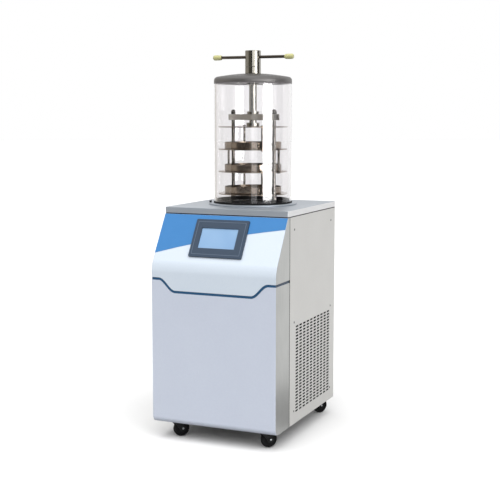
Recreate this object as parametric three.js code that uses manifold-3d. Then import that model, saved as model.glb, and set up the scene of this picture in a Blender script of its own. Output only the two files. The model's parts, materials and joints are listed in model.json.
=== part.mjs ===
// Floor-standing laboratory freeze dryer with a top-press drying chamber.
// Millimetres, +Z up, front towards -Y, origin on the floor below the middle of the whole.
import * as THREE from 'three';
import { mergeVertices } from 'three/addons/utils/BufferGeometryUtils.js';
import Module from 'manifold-3d';

const wasm = await Module();
wasm.setup();

// ---- Driving dimensions -------------------------------------------------------------------

const clearance = 0.3;              // between pieces that touch or slide

// Cabinet
const cabinetWidth = 436;
const cabinetDepth = 545;
const bodyHeight = 701;             // underside of the side panels to the top of the cover
const casterHeight = 56;            // floor to the underside of the side panels
const panelSheet = 1.2;
const coverSheet = 1.5;
const fasciaWall = 2;
const panFloor = 2;
const coverRim = 22;                // depth of the top cover's down-turned rim
const coverSetback = 100;           // front face to the front of the top cover
const seamSetback = 118;            // front face to the seam with the side panels
const bendDrop = 182;               // top of the cover to the corner of the bend
const bendRadius = 75;
const bendSteps = 5;
const bevelSize = 19;               // lower front edge
const frontLip = 8;                 // return of the front's lower edge behind the bevel
const panelFlange = 15;             // folded edges of the side panels
const panFlange = 25;
const panFrontGap = 1.3;

// Wavy seam of the front
const waveDrop = 224.5;               // top of the cover to the seam's high ends
const waveDip = 40;
const waveOuter = 192;              // where the seam leaves its high ends
const waveInner = 133;              // where it reaches its low middle
const waveSteps = 8;
const waveSeam = 8.6;

// Vent slots
const ventFront = 172;              // front face to the field's front edge
const ventDrop = 378;               // top of the cover to the first row
const ventColumns = 5;
const ventRows = 16;
const ventPitchAlong = 64;
const ventPitchDown = 18.4;
const ventSlotLength = 58;
const ventSlotHeight = 6;
const rearVentColumns = 2;
const rearVentRows = 9;
const rearVentPitchAlong = 110;
const rearVentSlotLength = 90;
const rearVentDrop = 420;

// Control panel
const filmThickness = 0.5;
const filmMargin = 1;
const filmTopMargin = 3;
const filmDropLeft = 143.5;         // top of the slope to the film's lower edge, along the slope
const filmDropRight = 41;
const filmRiseLeft = 0.33;          // how steeply that edge rises at its ends
const filmRiseRight = 0.16;
const bezelWidth = 186;
const bezelHeight = 134;
const bezelDrop = 84.5;             // top of the slope to the bezel's middle, along the slope
const bezelCorner = 6;
const bezelRim = 9;
const bezelProud = 5;
const bezelStep = 1.6;
const bezelBodyMargin = 9;
const bezelBodyDepth = 14;
const screenWidth = 128;
const screenHeight = 72;
const screenOffset = -3;
const screenSink = 2;
const screenThickness = 3;

// Chamber
const flangeRadius = 154;
const flangeThickness = 5;
const flangeBevel = 1.5;
const trapMouth = 112;              // bore of the flange and of the cover
const chamberRadius = 131;
const chamberWall = 6;
const chamberHeight = 392;
const chamberSides = 44;
const gasketThickness = 5;
const gasketInner = 120;
const gasketOuter = 133;
const topGasketThickness = 3;
const lidThickness = 17;
const lidCrown = 13;
const lidEdge = 10;
const lidDishSteps = 4;
const lidSeatRadius = 32;

// Cold trap
const trapRadius = 103.5;
const trapWall = 1.5;
const trapDepth = 245;
const trapCorner = 20;
const trapLip = 118;
const foamRadius = 148;
const foamBottom = 32;

// Press
const spindleRadius = 13;
const spindleAboveLid = 47.5;
const journalRadius = 8;
const glandRadius = 26.5;
const glandHeight = 21.5;
const glandNeckRadius = 17;
const glandNutRadius = 21.5;
const glandNutHeight = 6;
const hubHeight = 54.5;
const hubSleeveRadius = 19;
const hubSleeveLength = 15;
const hubCap = 6;
const barHeightInHub = 33;          // foot of the hub's head to the bar's axis
const barRadius = 5;
const barLength = 256;
const gripRadius = 9;
const gripLength = 31;
const gripOverlap = 13;             // how far the bar reaches into a grip
const footRadius = 22;
const footHeight = 12;
const pressTravel = 24;

// Shelf rack
const shelfRadius = 116;
const shelfThickness = 3;
const shelfPitch = 74.5;
const bottomShelfTop = 38;          // above the top of the cover
const shelfCount = 4;
const rackBaseBore = 70;
const postCircle = 104;
const postRadius = 6;
const postStudRadius = 5;
const postFootRadius = 9;
const rodRadius = 4;
const rodHeadRadius = 5.5;
const rodHeadHeight = 3.5;
const rackTurn = -25;               // degrees, the post nearer the viewer, from +X
const rodTurnEven = -49.5;          // degrees, rods of shelves 2 and 4
const rodTurnOdd = -12;             // degrees, rods of shelf 3
const crossheadGap = 8.7;           // thrust foot to crosshead
const crossheadOverhang = 9;        // post's axis to the bar's end
const crossheadWidth = 30;
const crossheadHeight = 20;
const crossheadBossRadius = 20;
const crossheadBossHeight = 9;
const acornAcross = 8.8;
const acornHexHeight = 8;
const acornDomeRadius = 7.4;

// Trays
const trayRadius = 96;
const trayHeight = 22;
const trayWall = 1.2;
const trayCorner = 3;

// Casters
const frontCasterSideInset = 61;
const rearCasterSideInset = 54;
const casterEndInset = 46;
const casterPlateRadius = 18;
const casterPlateHeight = 3.3;
const casterTurn = 53;              // degrees, way in which the wheels trail, from +X
const casterTrail = 20;
const wheelRadius = 27.5;
const wheelWidth = 20;
const wheelSides = 20;
const kingpinRadius = 5;
const crownThickness = 2.2;
const wheelTopGap = 0.9;
const cheekThickness = 2.5;
const axleRadius = 3;
const axleHeadRadius = 5.5;
const axleHeadHeight = 2;

// Refrigeration unit
const compressorRadius = 75;
const compressorHeight = 178;
const compressorSideInset = 118;
const compressorBackInset = 115;
const condenserLength = 290;
const condenserHeight = 300;
const condenserThickness = 45;
const condenserSideInset = 36;
const shroudThickness = 12;
const shroudBore = 112;
const bracketReach = 22;            // shroud to motor bracket
const bracketThickness = 5;
const bracketWidth = 24;
const motorRadius = 24;
const motorLength = 14;
const fanShaftRadius = 4;
const fanHubRadius = 28;
const fanHubLength = 11;
const fanRootDepth = 1;
const fanRadius = 106;
const fanBlades = 5;
const fanBladeWidth = 44;
const fanBladeThickness = 2.5;
const fanBladePitch = 0.5;          // radians

// Rear fittings
const portSideInset = 148;          // right side of the cabinet to the port's axis
const portDrop = 150;
const portNeckRadius = 14;
const portFlangeRadius = 20;
const portFlangeThickness = 5;
const portBore = 12;
const portProud = 40;
const portInside = 14;
const inletSideInset = 108;         // left side of the cabinet to the inlet's middle
const inletDrop = 170;
const inletWidth = 34;
const inletHeight = 66;
const inletFlange = 3;
const inletBodyMargin = 3;
const inletBodyDepth = 24;
const socketWidth = 25;
const socketHeight = 18;
const socketDepth = 16;
const rockerWidth = 15;
const rockerLength = 20;
const rockerWellHeight = 25;
const rockerWellDepth = 12;
const rockerTilt = 8;               // degrees
const rockerPivotOut = 1.5;
const valveSideInset = 128;
const valveDrop = 560;
const valveRadius = 12;
const valveLength = 22;
const valveNeckRadius = 8;
const valveNozzleRadius = 6;
const valveBore = 4;
const valveNozzleLength = 16;
const valveStemRadius = 4;
const valveStemHeight = 6;
const leverLength = 52;
const leverWidth = 12;
const leverThickness = 3;

// ---- Places that follow from them -----------------------------------------------------------

const frontY = -(cabinetDepth + portProud) / 2;
const backY = frontY + cabinetDepth;
const halfWidth = cabinetWidth / 2;
const baseZ = casterHeight;
const coverZ = casterHeight + bodyHeight;
const slopeTopZ = coverZ - coverRim;
const panelTopZ = slopeTopZ - clearance;
const seamY = frontY + seamSetback;
const coverFrontY = frontY + coverSetback;
const chamberY = (coverFrontY + backY) / 2;
const slopeAngle = Math.atan2(coverSetback, bendDrop - coverRim);
const wheelDrop = 2 * wheelRadius + wheelTopGap + crownThickness;
const panZ = wheelDrop + clearance + casterPlateHeight + clearance;
const panHalfWidth = halfWidth - panelFlange - clearance;
const panFrontY = frontY + bevelSize + frontLip + panFrontGap;
const panBackY = backY - panelSheet - clearance;
const deckZ = panZ + panFloor + clearance;
const portX = halfWidth - portSideInset;
const inletX = inletSideInset - halfWidth;
const valveX = halfWidth - valveSideInset;

const flangeZ = coverZ + clearance;
const flangeTopZ = flangeZ + flangeThickness;
const gasketZ = flangeTopZ + clearance;
const chamberZ = gasketZ + gasketThickness + clearance;
const chamberTopZ = chamberZ + chamberHeight;
const lidZ = chamberTopZ + clearance + topGasketThickness + clearance;
const lidTopZ = lidZ + lidThickness + lidCrown;
const glandZ = lidTopZ + clearance;
const hubZ = glandZ + glandHeight + clearance;
const barZ = hubZ + barHeightInHub;
const hubSleeveZ = hubZ - hubSleeveLength;

const shelfTop = (number) => coverZ + bottomShelfTop + (shelfCount - number) * shelfPitch;
const footZ = shelfTop(1) + clearance;
const crossheadZ = footZ + footHeight + crossheadGap;
const spindleTopZ = lidTopZ + spindleAboveLid;

// ---- Finishes --------------------------------------------------------------------------------

const finish = (color, roughness, metalness) => ({ color, roughness, metalness });
const paintedGrey = finish(0xc9c8c4, 0.5, 0);
const paintedFront = finish(0xc9cedb, 0.45, 0);
const blueFilm = finish(0x4f97dc, 0.35, 0);
const blueTrim = finish(0x1d4a6e, 0.4, 0);
const slate = finish(0x4b5667, 0.4, 0);
const screenBlue = finish(0x9dbde8, 0.15, 0);
const stainless = finish(0xb4b6b8, 0.3, 1);
const darkSteel = finish(0x5c5b56, 0.3, 1);
const clear = finish(0xe8eef0, 0.05, 0);
const blackRubber = finish(0x161616, 0.8, 0);
const blackPlastic = finish(0x1b1b1c, 0.5, 0);
const ivory = finish(0xe2e0ae, 0.4, 0);
const foam = finish(0xd9cfa8, 0.9, 0);
const blackPaint = finish(0x222224, 0.4, 0.2);
const brass = finish(0xb59a55, 0.35, 1);
const aluminium = finish(0x9a9a96, 0.35, 1);

// ---- Making and placing shapes ----------------------------------------------------------------

const part = new THREE.Group();
const radians = THREE.MathUtils.degToRad;

function solidOf(geometry) {
  geometry.deleteAttribute('normal');
  geometry.deleteAttribute('uv');
  const welded = mergeVertices(geometry, 1e-4);
  return new wasm.Manifold(new wasm.Mesh({
    numProp: 3,
    vertProperties: new Float32Array(welded.attributes.position.array),
    triVerts: new Uint32Array(welded.index.array),
  }));
}

function geometryOf(solid) {
  const mesh = solid.getMesh();
  const geometry = new THREE.BufferGeometry();
  geometry.setAttribute('position', new THREE.BufferAttribute(mesh.vertProperties, 3));
  geometry.setIndex(new THREE.BufferAttribute(mesh.triVerts, 1));
  geometry.computeVertexNormals();
  return geometry;
}

function add(name, solid, look, parent = part) {
  const mesh = new THREE.Mesh(geometryOf(solid), new THREE.MeshStandardMaterial(look));
  mesh.name = name;
  parent.add(mesh);
  return mesh;
}

function block(x, y, z) {
  const geometry = new THREE.BoxGeometry(x[1] - x[0], y[1] - y[0], z[1] - z[0]);
  geometry.translate((x[0] + x[1]) / 2, (y[0] + y[1]) / 2, (z[0] + z[1]) / 2);
  return solidOf(geometry);
}

function outline(points) {
  return new THREE.Shape(points.map(([u, v]) => new THREE.Vector2(u, v)));
}

// Extrudes a shape drawn in two axes along the third, from one place to another.
function extruded(shape, from, to, across, curveSegments = 6) {
  const depth = to - from;
  const geometry = new THREE.ExtrudeGeometry(shape, { depth, bevelEnabled: false, curveSegments });
  const frames = {
    x: [new THREE.Vector3(0, 1, 0), new THREE.Vector3(0, 0, 1), new THREE.Vector3(1, 0, 0)],
    y: [new THREE.Vector3(1, 0, 0), new THREE.Vector3(0, 0, 1), new THREE.Vector3(0, -1, 0)],
    z: [new THREE.Vector3(1, 0, 0), new THREE.Vector3(0, 1, 0), new THREE.Vector3(0, 0, 1)],
  };
  geometry.applyMatrix4(new THREE.Matrix4().makeBasis(...frames[across]));
  const shift = { x: [from, 0, 0], y: [0, to, 0], z: [0, 0, from] };
  geometry.translate(...shift[across]);
  return solidOf(geometry);
}

// Turns a closed profile of [radius, height] points about the vertical axis.
function turned(profile, sides) {
  const points = profile.map(([r, h]) => new THREE.Vector2(r, h));
  const closed = profile[0][0] > 0 ? [...points, points[0].clone()] : points;
  const geometry = new THREE.LatheGeometry(closed, sides);
  geometry.rotateX(Math.PI / 2);
  return solidOf(geometry);
}

function disc(radius, bottom, top, sides) {
  return turned([[0, bottom], [radius, bottom], [radius, top], [0, top]], sides);
}

function ring(inner, outer, bottom, top, sides) {
  return turned([[inner, bottom], [outer, bottom], [outer, top], [inner, top]], sides);
}

function moved(solid, x, y, z = 0) {
  return solid.translate([x, y, z]);
}

// Lays a solid that was made along +Z down so that it runs along +Y.
function alongY(solid) {
  return solid.rotate([-90, 0, 0]);
}

// Lays a solid that was made along +Z down so that it runs along +X.
function alongX(solid) {
  return solid.rotate([0, 90, 0]);
}

function joined(...solids) {
  return solids.reduce((whole, next) => whole.add(next));
}

// ---- Front shell: side profile, wave and window -------------------------------------------------

// Side view of the front shell, drawn in y and z, set in from the outside by a wall thickness.
function shellProfile(inset) {
  const bendZ = coverZ - bendDrop - bendRadius * Math.tan(slopeAngle / 2);
  const centreY = frontY + bendRadius;
  const back = inset > 0 ? seamY + fasciaWall : seamY;
  const bevelInset = inset * (Math.SQRT2 - 1);
  const top = panelTopZ - inset;
  const slopeFoot = centreY - (bendRadius - inset) * Math.cos(slopeAngle);
  const slopeFootZ = bendZ + (bendRadius - inset) * Math.sin(slopeAngle);
  const slopeHead = slopeFoot + (top - slopeFootZ) * Math.tan(slopeAngle);
  const points = [
    [back, baseZ + inset],
    [frontY + bevelSize + bevelInset, baseZ + inset],
    [frontY + inset, baseZ + bevelSize + bevelInset],
  ];
  for (let step = 0; step <= bendSteps; step += 1) {
    const turn = (slopeAngle * step) / bendSteps;
    const reach = bendRadius - inset;
    points.push([centreY - reach * Math.cos(turn), bendZ + reach * Math.sin(turn)]);
  }
  points.push([slopeHead, top]);
  points.push([back, top]);
  return outline(points.reverse());
}

function frontShell() {
  const outer = extruded(shellProfile(0), -halfWidth, halfWidth, 'x');
  const inner = extruded(shellProfile(fasciaWall), fasciaWall - halfWidth, halfWidth - fasciaWall, 'x');
  const openBottom = block(
    [fasciaWall - halfWidth, halfWidth - fasciaWall],
    [frontY + bevelSize + frontLip, seamY + fasciaWall],
    [baseZ - fasciaWall, baseZ + 2 * fasciaWall],
  );
  return outer.subtract(inner).subtract(openBottom);
}

// Height of the wavy seam at a place across the front.
function waveHeight(x) {
  const along = THREE.MathUtils.clamp((waveOuter - Math.abs(x)) / (waveOuter - waveInner), 0, 1);
  return coverZ - waveDrop - waveDip * (1 - Math.cos(Math.PI * along)) / 2;
}

function wavePoints(offset) {
  const reach = halfWidth + clearance;
  const steepest = Math.PI * waveDip / 2 / (waveOuter - waveInner);
  const points = [[-reach, waveHeight(reach) + offset]];
  for (const side of [-1, 1]) {
    for (let step = 0; step <= waveSteps; step += 1) {
      const share = side < 0 ? step / waveSteps : 1 - step / waveSteps;
      const x = side * (waveOuter + (waveInner - waveOuter) * share);
      const slope = steepest * Math.sin(Math.PI * share);
      points.push([x, waveHeight(x) + offset * Math.hypot(1, slope)]);
    }
  }
  points.push([reach, waveHeight(reach) + offset]);
  return points;
}

// Everything in front of the seam with the side panels, between two offsets of the wave.
function waveBand(low, high) {
  const reach = halfWidth + clearance;
  const bottom = Number.isFinite(low)
    ? wavePoints(low)
    : [[-reach, baseZ - clearance], [reach, baseZ - clearance]];
  const top = Number.isFinite(high) ? wavePoints(high) : [[-reach, coverZ], [reach, coverZ]];
  const shape = outline([...bottom, ...top.reverse()]);
  return extruded(shape, frontY - clearance, seamY + clearance, 'y');
}

// The slope's own frame: x across, y up the slope, z out of it, from the middle of its top edge.
const slopeGroup = new THREE.Group();
slopeGroup.position.set(0, coverFrontY, slopeTopZ);
slopeGroup.rotation.x = Math.PI / 2 - slopeAngle;
slopeGroup.updateMatrix();
part.add(slopeGroup);

function onSlope(solid) {
  return solid.transform(slopeGroup.matrix.elements);
}

function slopeBlock(width, height, centreX, low, high) {
  return block(
    [centreX - width / 2, centreX + width / 2],
    [-bezelDrop - height / 2, -bezelDrop + height / 2],
    [low, high],
  );
}

const bezelBodyWidth = bezelWidth - 2 * bezelBodyMargin;
const bezelBodyHeight = bezelHeight - 2 * bezelBodyMargin;
const filmTop = clearance + filmThickness;
const bezelFoot = filmTop + clearance;

function addFront() {
  const shell = frontShell();
  const window = onSlope(slopeBlock(
    bezelBodyWidth + 2 * clearance,
    bezelBodyHeight + 2 * clearance,
    0,
    -bezelBodyDepth,
    bezelBodyDepth,
  ));
  add('upper_fascia', shell.intersect(waveBand(waveSeam / 2, Infinity)).subtract(window), paintedFront);
  add('lower_front_panel', shell.intersect(waveBand(-Infinity, -waveSeam / 2)), paintedFront);
  const trimHalf = waveSeam / 2 - clearance;
  add('wave_trim', shell.intersect(waveBand(-trimHalf, trimHalf)), blueTrim);
}

// ---- Control panel ---------------------------------------------------------------------------------

function roundedRectangle(width, height, corner, centreX) {
  const x = centreX - width / 2;
  const y = -bezelDrop - height / 2;
  const shape = new THREE.Shape();
  shape.moveTo(x + corner, y);
  shape.lineTo(x + width - corner, y);
  shape.absarc(x + width - corner, y + corner, corner, -Math.PI / 2, 0);
  shape.lineTo(x + width, y + height - corner);
  shape.absarc(x + width - corner, y + height - corner, corner, 0, Math.PI / 2);
  shape.lineTo(x + corner, y + height);
  shape.absarc(x + corner, y + height - corner, corner, Math.PI / 2, Math.PI);
  shape.lineTo(x, y + corner);
  shape.absarc(x + corner, y + corner, corner, Math.PI, 1.5 * Math.PI);
  return shape;
}

function addControls() {
  const filmHalf = halfWidth - filmMargin;
  const third = (2 * filmHalf) / 3;
  const edge = new THREE.CubicBezierCurve(
    new THREE.Vector2(-filmHalf, -filmDropLeft),
    new THREE.Vector2(third - filmHalf, third * filmRiseLeft - filmDropLeft),
    new THREE.Vector2(filmHalf - third, -third * filmRiseRight - filmDropRight),
    new THREE.Vector2(filmHalf, -filmDropRight),
  );
  const filmShape = new THREE.Shape([
    new THREE.Vector2(filmHalf, -filmTopMargin),
    new THREE.Vector2(-filmHalf, -filmTopMargin),
    ...edge.getPoints(24),
  ]);
  const opening = slopeBlock(
    bezelBodyWidth + 2 * clearance, bezelBodyHeight + 2 * clearance, 0, -bezelProud, bezelProud,
  );
  const film = extruded(filmShape, clearance, filmTop, 'z').subtract(opening);
  add('control_overlay', film, blueFilm, slopeGroup);

  const plate = extruded(
    roundedRectangle(bezelWidth, bezelHeight, bezelCorner, 0), bezelFoot, bezelFoot + bezelProud, 'z', 3,
  );
  const step = slopeBlock(
    bezelWidth - 2 * bezelRim, bezelHeight - 2 * bezelRim, 0,
    bezelFoot + bezelProud - bezelStep, bezelFoot + 2 * bezelProud,
  );
  const body = slopeBlock(bezelBodyWidth, bezelBodyHeight, 0, -bezelBodyDepth, bezelFoot + clearance);
  const sight = slopeBlock(
    screenWidth + 2 * clearance, screenHeight + 2 * clearance, screenOffset,
    -2 * bezelBodyDepth, bezelFoot + 2 * bezelProud,
  );
  add('screen_bezel', plate.subtract(step).add(body).subtract(sight), slate, slopeGroup);

  const screenFace = bezelFoot + bezelProud - bezelStep - screenSink;
  const screen = slopeBlock(
    screenWidth, screenHeight, screenOffset, screenFace - screenThickness, screenFace,
  );
  add('touch_screen', screen, screenBlue, slopeGroup);
}

// ---- Cabinet sheets -----------------------------------------------------------------------------------

function slotField(columns, rows, pitchAlong, pitchDown, length, height) {
  const centres = [];
  for (let column = 0; column < columns; column += 1) {
    for (let row = 0; row < rows; row += 1) {
      centres.push([column * pitchAlong + length / 2, -row * pitchDown - height / 2]);
    }
  }
  return centres;
}

function addSidePanel(name, side) {
  const wide = (inner, outer) => (side > 0 ? [inner, outer] : [-outer, -inner]);
  const folded = block(wide(halfWidth - panelFlange, halfWidth), [seamY + clearance, backY], [baseZ, panelTopZ]);
  const hollow = block(
    wide(halfWidth - 2 * panelFlange, halfWidth - panelSheet),
    [seamY + clearance + panelSheet, backY - panelSheet],
    [baseZ - panelSheet, panelTopZ + panelSheet],
  );
  const slots = slotField(
    ventColumns, ventRows, ventPitchAlong, ventPitchDown, ventSlotLength, ventSlotHeight,
  ).map(([along, down]) => block(
    wide(halfWidth - 2 * panelSheet, halfWidth + panelSheet),
    [frontY + ventFront + along - ventSlotLength / 2, frontY + ventFront + along + ventSlotLength / 2],
    [coverZ - ventDrop + down - ventSlotHeight / 2, coverZ - ventDrop + down + ventSlotHeight / 2],
  ));
  add(name, folded.subtract(hollow).subtract(joined(...slots)), paintedGrey);
}

function addBackPanel() {
  const panel = block([-panHalfWidth, panHalfWidth], [backY - panelSheet, backY], [baseZ, panelTopZ]);
  const fieldWidth = (rearVentColumns - 1) * rearVentPitchAlong + rearVentSlotLength;
  const slots = slotField(
    rearVentColumns, rearVentRows, rearVentPitchAlong, ventPitchDown, rearVentSlotLength, ventSlotHeight,
  ).map(([along, down]) => block(
    [along - fieldWidth / 2 - rearVentSlotLength / 2, along - fieldWidth / 2 + rearVentSlotLength / 2],
    [backY - 2 * panelSheet, backY + panelSheet],
    [coverZ - rearVentDrop + down - ventSlotHeight / 2, coverZ - rearVentDrop + down + ventSlotHeight / 2],
  ));
  const inletHole = block(
    [inletX - inletBodyWidth / 2 - clearance, inletX + inletBodyWidth / 2 + clearance],
    [backY - 2 * panelSheet, backY + panelSheet],
    [inletZ - inletBodyHeight / 2 - clearance, inletZ + inletBodyHeight / 2 + clearance],
  );
  const portHole = rearHole(portX, coverZ - portDrop, portNeckRadius + clearance);
  const valveHole = rearHole(valveX, coverZ - valveDrop, valveNeckRadius + clearance);
  const cutters = joined(...slots, inletHole, portHole, valveHole);
  add('back_panel', panel.subtract(cutters), paintedGrey);
}

function rearHole(x, z, radius) {
  return moved(alongY(disc(radius, -2 * panelSheet, panelSheet, 16)), x, backY, z);
}

function addTopCover() {
  const folded = block([-halfWidth, halfWidth], [coverFrontY, backY], [slopeTopZ, coverZ]);
  const hollow = block(
    [coverSheet - halfWidth, halfWidth - coverSheet],
    [coverFrontY + coverSheet, backY - coverSheet],
    [slopeTopZ - coverSheet, coverZ - coverSheet],
  );
  const mouth = moved(disc(trapMouth, slopeTopZ, coverZ + coverSheet, chamberSides), 0, chamberY);
  add('top_cover', folded.subtract(hollow).subtract(mouth), stainless);
}

function addBasePan() {
  const outer = block([-panHalfWidth, panHalfWidth], [panFrontY, panBackY], [panZ, panZ + panFlange]);
  const inner = block(
    [panFloor - panHalfWidth, panHalfWidth - panFloor],
    [panFrontY + panFloor, panBackY - panFloor],
    [panZ + panFloor, panZ + 2 * panFlange],
  );
  add('base_pan', outer.subtract(inner), paintedGrey);
}

// ---- Cold trap and drying chamber -------------------------------------------------------------------

function addColdTrap() {
  const lipZ = flangeTopZ - trapWall;
  const outer = trapRadius;
  const inner = trapRadius - trapWall;
  const bottom = coverZ - trapDepth;
  const trap = turned([
    [0, bottom],
    [outer - trapCorner, bottom],
    [outer, bottom + trapCorner],
    [outer, lipZ],
    [trapLip, lipZ],
    [trapLip, flangeTopZ],
    [inner, flangeTopZ],
    [inner, bottom + trapCorner + trapWall / 2],
    [inner - trapCorner, bottom + trapWall],
    [0, bottom + trapWall],
  ], 32);
  add('cold_trap', moved(trap, 0, chamberY), stainless);

  const bore = trapRadius + clearance;
  const jacketTop = coverZ - coverSheet - clearance;
  const jacket = turned([
    [0, bottom - foamBottom],
    [foamRadius, bottom - foamBottom],
    [foamRadius, jacketTop],
    [bore, jacketTop],
    [bore, bottom + trapCorner],
    [bore - trapCorner, bottom - clearance],
    [0, bottom - clearance],
  ], 32);
  add('trap_insulation', moved(jacket, 0, chamberY), foam);
}

function addChamber() {
  const lipStepZ = flangeTopZ - trapWall - clearance;
  const flange = turned([
    [trapMouth, flangeZ],
    [flangeRadius, flangeZ],
    [flangeRadius, flangeTopZ - flangeBevel],
    [flangeRadius - flangeBevel, flangeTopZ],
    [trapLip + clearance, flangeTopZ],
    [trapLip + clearance, lipStepZ],
    [trapMouth, lipStepZ],
  ], chamberSides);
  add('chamber_flange', moved(flange, 0, chamberY), stainless);

  const gasket = ring(gasketInner, gasketOuter, gasketZ, gasketZ + gasketThickness, chamberSides);
  add('lower_gasket', moved(gasket, 0, chamberY), blackRubber);

  const inner = chamberRadius - chamberWall;
  const tube = ring(inner, chamberRadius, chamberZ, chamberTopZ, chamberSides);
  add('acrylic_cylinder', moved(tube, 0, chamberY), clear);

  const topGasketZ = chamberTopZ + clearance;
  const topGasket = ring(inner, chamberRadius, topGasketZ, topGasketZ + topGasketThickness, chamberSides);
  add('upper_gasket', moved(topGasket, 0, chamberY), clear);

  addLid();
}

// A dished plate: flat at the gland's seat, steepest at its rounded shoulder.
function addLid() {
  const shoulder = chamberRadius - lidEdge;
  const turnIn = lidEdge * (1 - Math.SQRT1_2);
  const dish = [];
  for (let step = lidDishSteps; step > 0; step -= 1) {
    const share = step / lidDishSteps;
    dish.push([lidSeatRadius + (shoulder - lidSeatRadius) * share, lidTopZ - lidCrown * share * share]);
  }
  const lid = turned([
    [glandNeckRadius + clearance, lidZ],
    [chamberRadius, lidZ],
    [chamberRadius, lidZ + lidThickness - lidEdge],
    [chamberRadius - turnIn, lidZ + lidThickness - turnIn],
    ...dish,
    [lidSeatRadius, lidTopZ],
    [glandNeckRadius + clearance, lidTopZ],
  ], chamberSides);
  add('lid', moved(lid, 0, chamberY), darkSteel);
}

// ---- Stoppering press --------------------------------------------------------------------------------

function addPress() {
  const slide = spindleRadius + clearance;
  const nutZ = lidZ - clearance - glandNutHeight;
  const gland = turned([
    [slide, nutZ],
    [glandNeckRadius, nutZ],
    [glandNeckRadius, glandZ],
    [glandRadius, glandZ],
    [glandRadius, glandZ + glandHeight],
    [hubSleeveRadius + clearance, glandZ + glandHeight],
    [hubSleeveRadius + clearance, hubSleeveZ - clearance],
    [slide, hubSleeveZ - clearance],
  ], 20);
  add('gland_housing', moved(gland, 0, chamberY), darkSteel);

  const nut = disc(glandNutRadius, nutZ, nutZ + glandNutHeight, 6)
    .subtract(disc(glandNeckRadius + clearance, nutZ - 1, lidZ, 20));
  add('gland_nut', moved(nut, 0, chamberY), darkSteel);

  const hubTop = hubZ + hubHeight;
  const boreTop = spindleTopZ + clearance;
  const barHole = alongX(disc(barRadius + clearance, -2 * glandRadius, 2 * glandRadius, 12));
  const hub = turned([
    [0, boreTop],
    [slide, boreTop],
    [slide, hubSleeveZ],
    [hubSleeveRadius, hubSleeveZ],
    [hubSleeveRadius, hubZ],
    [glandRadius, hubZ],
    [glandRadius, hubTop - hubCap / 3],
    [glandRadius - hubCap / 3, hubTop],
    [0, hubTop],
  ], 20).subtract(moved(barHole, 0, 0, barZ));
  add('handle_hub', moved(hub, 0, chamberY), darkSteel);

  const bar = alongX(disc(barRadius, -barLength / 2, barLength / 2, 12));
  add('handle_bar', moved(bar, 0, chamberY, barZ), darkSteel);
  addGrip('left_grip', -1);
  addGrip('right_grip', 1);

  const journalZ = footZ + footHeight / 3;
  const spindle = turned([
    [0, journalZ],
    [journalRadius, journalZ],
    [journalRadius, footZ + footHeight + clearance],
    [spindleRadius, footZ + footHeight + clearance],
    [spindleRadius, spindleTopZ],
    [0, spindleTopZ],
  ], 16);
  add('spindle', moved(spindle, 0, chamberY), darkSteel);

  const foot = turned([
    [0, footZ],
    [footRadius, footZ],
    [footRadius, footZ + footHeight],
    [journalRadius + clearance, footZ + footHeight],
    [journalRadius + clearance, journalZ - clearance],
    [0, journalZ - clearance],
  ], 20);
  add('thrust_foot', moved(foot, 0, chamberY), darkSteel);
}

function addGrip(name, side) {
  const start = barLength / 2 - gripOverlap;
  const bore = barRadius + clearance;
  const grip = turned([
    [0, barLength / 2 + clearance],
    [bore, barLength / 2 + clearance],
    [bore, start],
    [gripRadius - gripRadius / 3, start],
    [gripRadius, start + gripRadius / 3],
    [gripRadius, start + gripLength - gripRadius / 2],
    [gripRadius / 2, start + gripLength],
    [0, start + gripLength],
  ], 12);
  const laid = side > 0 ? alongX(grip) : alongX(grip).rotate([0, 0, 180]);
  add(name, moved(laid, 0, chamberY, barZ), ivory);
}

// ---- Shelf rack --------------------------------------------------------------------------------------

// The two places, one opposite the other, of a pair that stands on the post circle.
function pairAt(degrees) {
  const x = postCircle * Math.cos(radians(degrees));
  const y = postCircle * Math.sin(radians(degrees));
  return [[x, y], [-x, -y]];
}

function drilled(solid, places, radius, low, high, sides) {
  return places.reduce(
    (left, [x, y]) => left.subtract(moved(disc(radius, low, high, sides), x, y)), solid,
  );
}

function hangingRod(top, reach) {
  const under = top - shelfThickness - rodHeadHeight;
  return turned([
    [0, under],
    [rodHeadRadius, under],
    [rodHeadRadius, top - shelfThickness],
    [rodRadius, top - shelfThickness / 2],
    [rodRadius, top + reach + clearance],
    [rodHeadRadius, top + reach + clearance],
    [rodHeadRadius, top + reach + clearance + rodHeadHeight],
    [0, top + reach + clearance + rodHeadHeight],
  ], 8);
}

function addShelf(number) {
  const top = shelfTop(number);
  const even = number % 2 === 0;
  let shelf = disc(shelfRadius, top - shelfThickness, top, 36);
  const low = top - 2 * shelfThickness;
  const high = top + shelfThickness;
  shelf = drilled(shelf, pairAt(rackTurn), postRadius + clearance, low, high, 10);
  const passing = pairAt(even ? rodTurnOdd : rodTurnEven);
  const own = pairAt(even ? rodTurnEven : rodTurnOdd);
  if (number < shelfCount) {
    shelf = drilled(shelf, passing, rodRadius + clearance, low, high, 8);
  }
  if (number > 1) {
    for (const [x, y] of own) {
      shelf = shelf.add(moved(hangingRod(top, shelfPitch), x, y));
    }
  }
  add(`shelf_${number}`, moved(shelf, 0, chamberY), stainless);
}

function addTray(number) {
  const floor = shelfTop(number + 1) + clearance;
  const tray = turned([
    [0, floor],
    [trayRadius - trayCorner, floor],
    [trayRadius, floor + trayCorner],
    [trayRadius, floor + trayHeight],
    [trayRadius - trayWall, floor + trayHeight],
    [trayRadius - trayWall, floor + trayCorner + trayWall / 2],
    [trayRadius - trayWall - trayCorner, floor + trayWall],
    [0, floor + trayWall],
  ], 32);
  add(`tray_${number}`, moved(tray, 0, chamberY), stainless);
}

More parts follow.
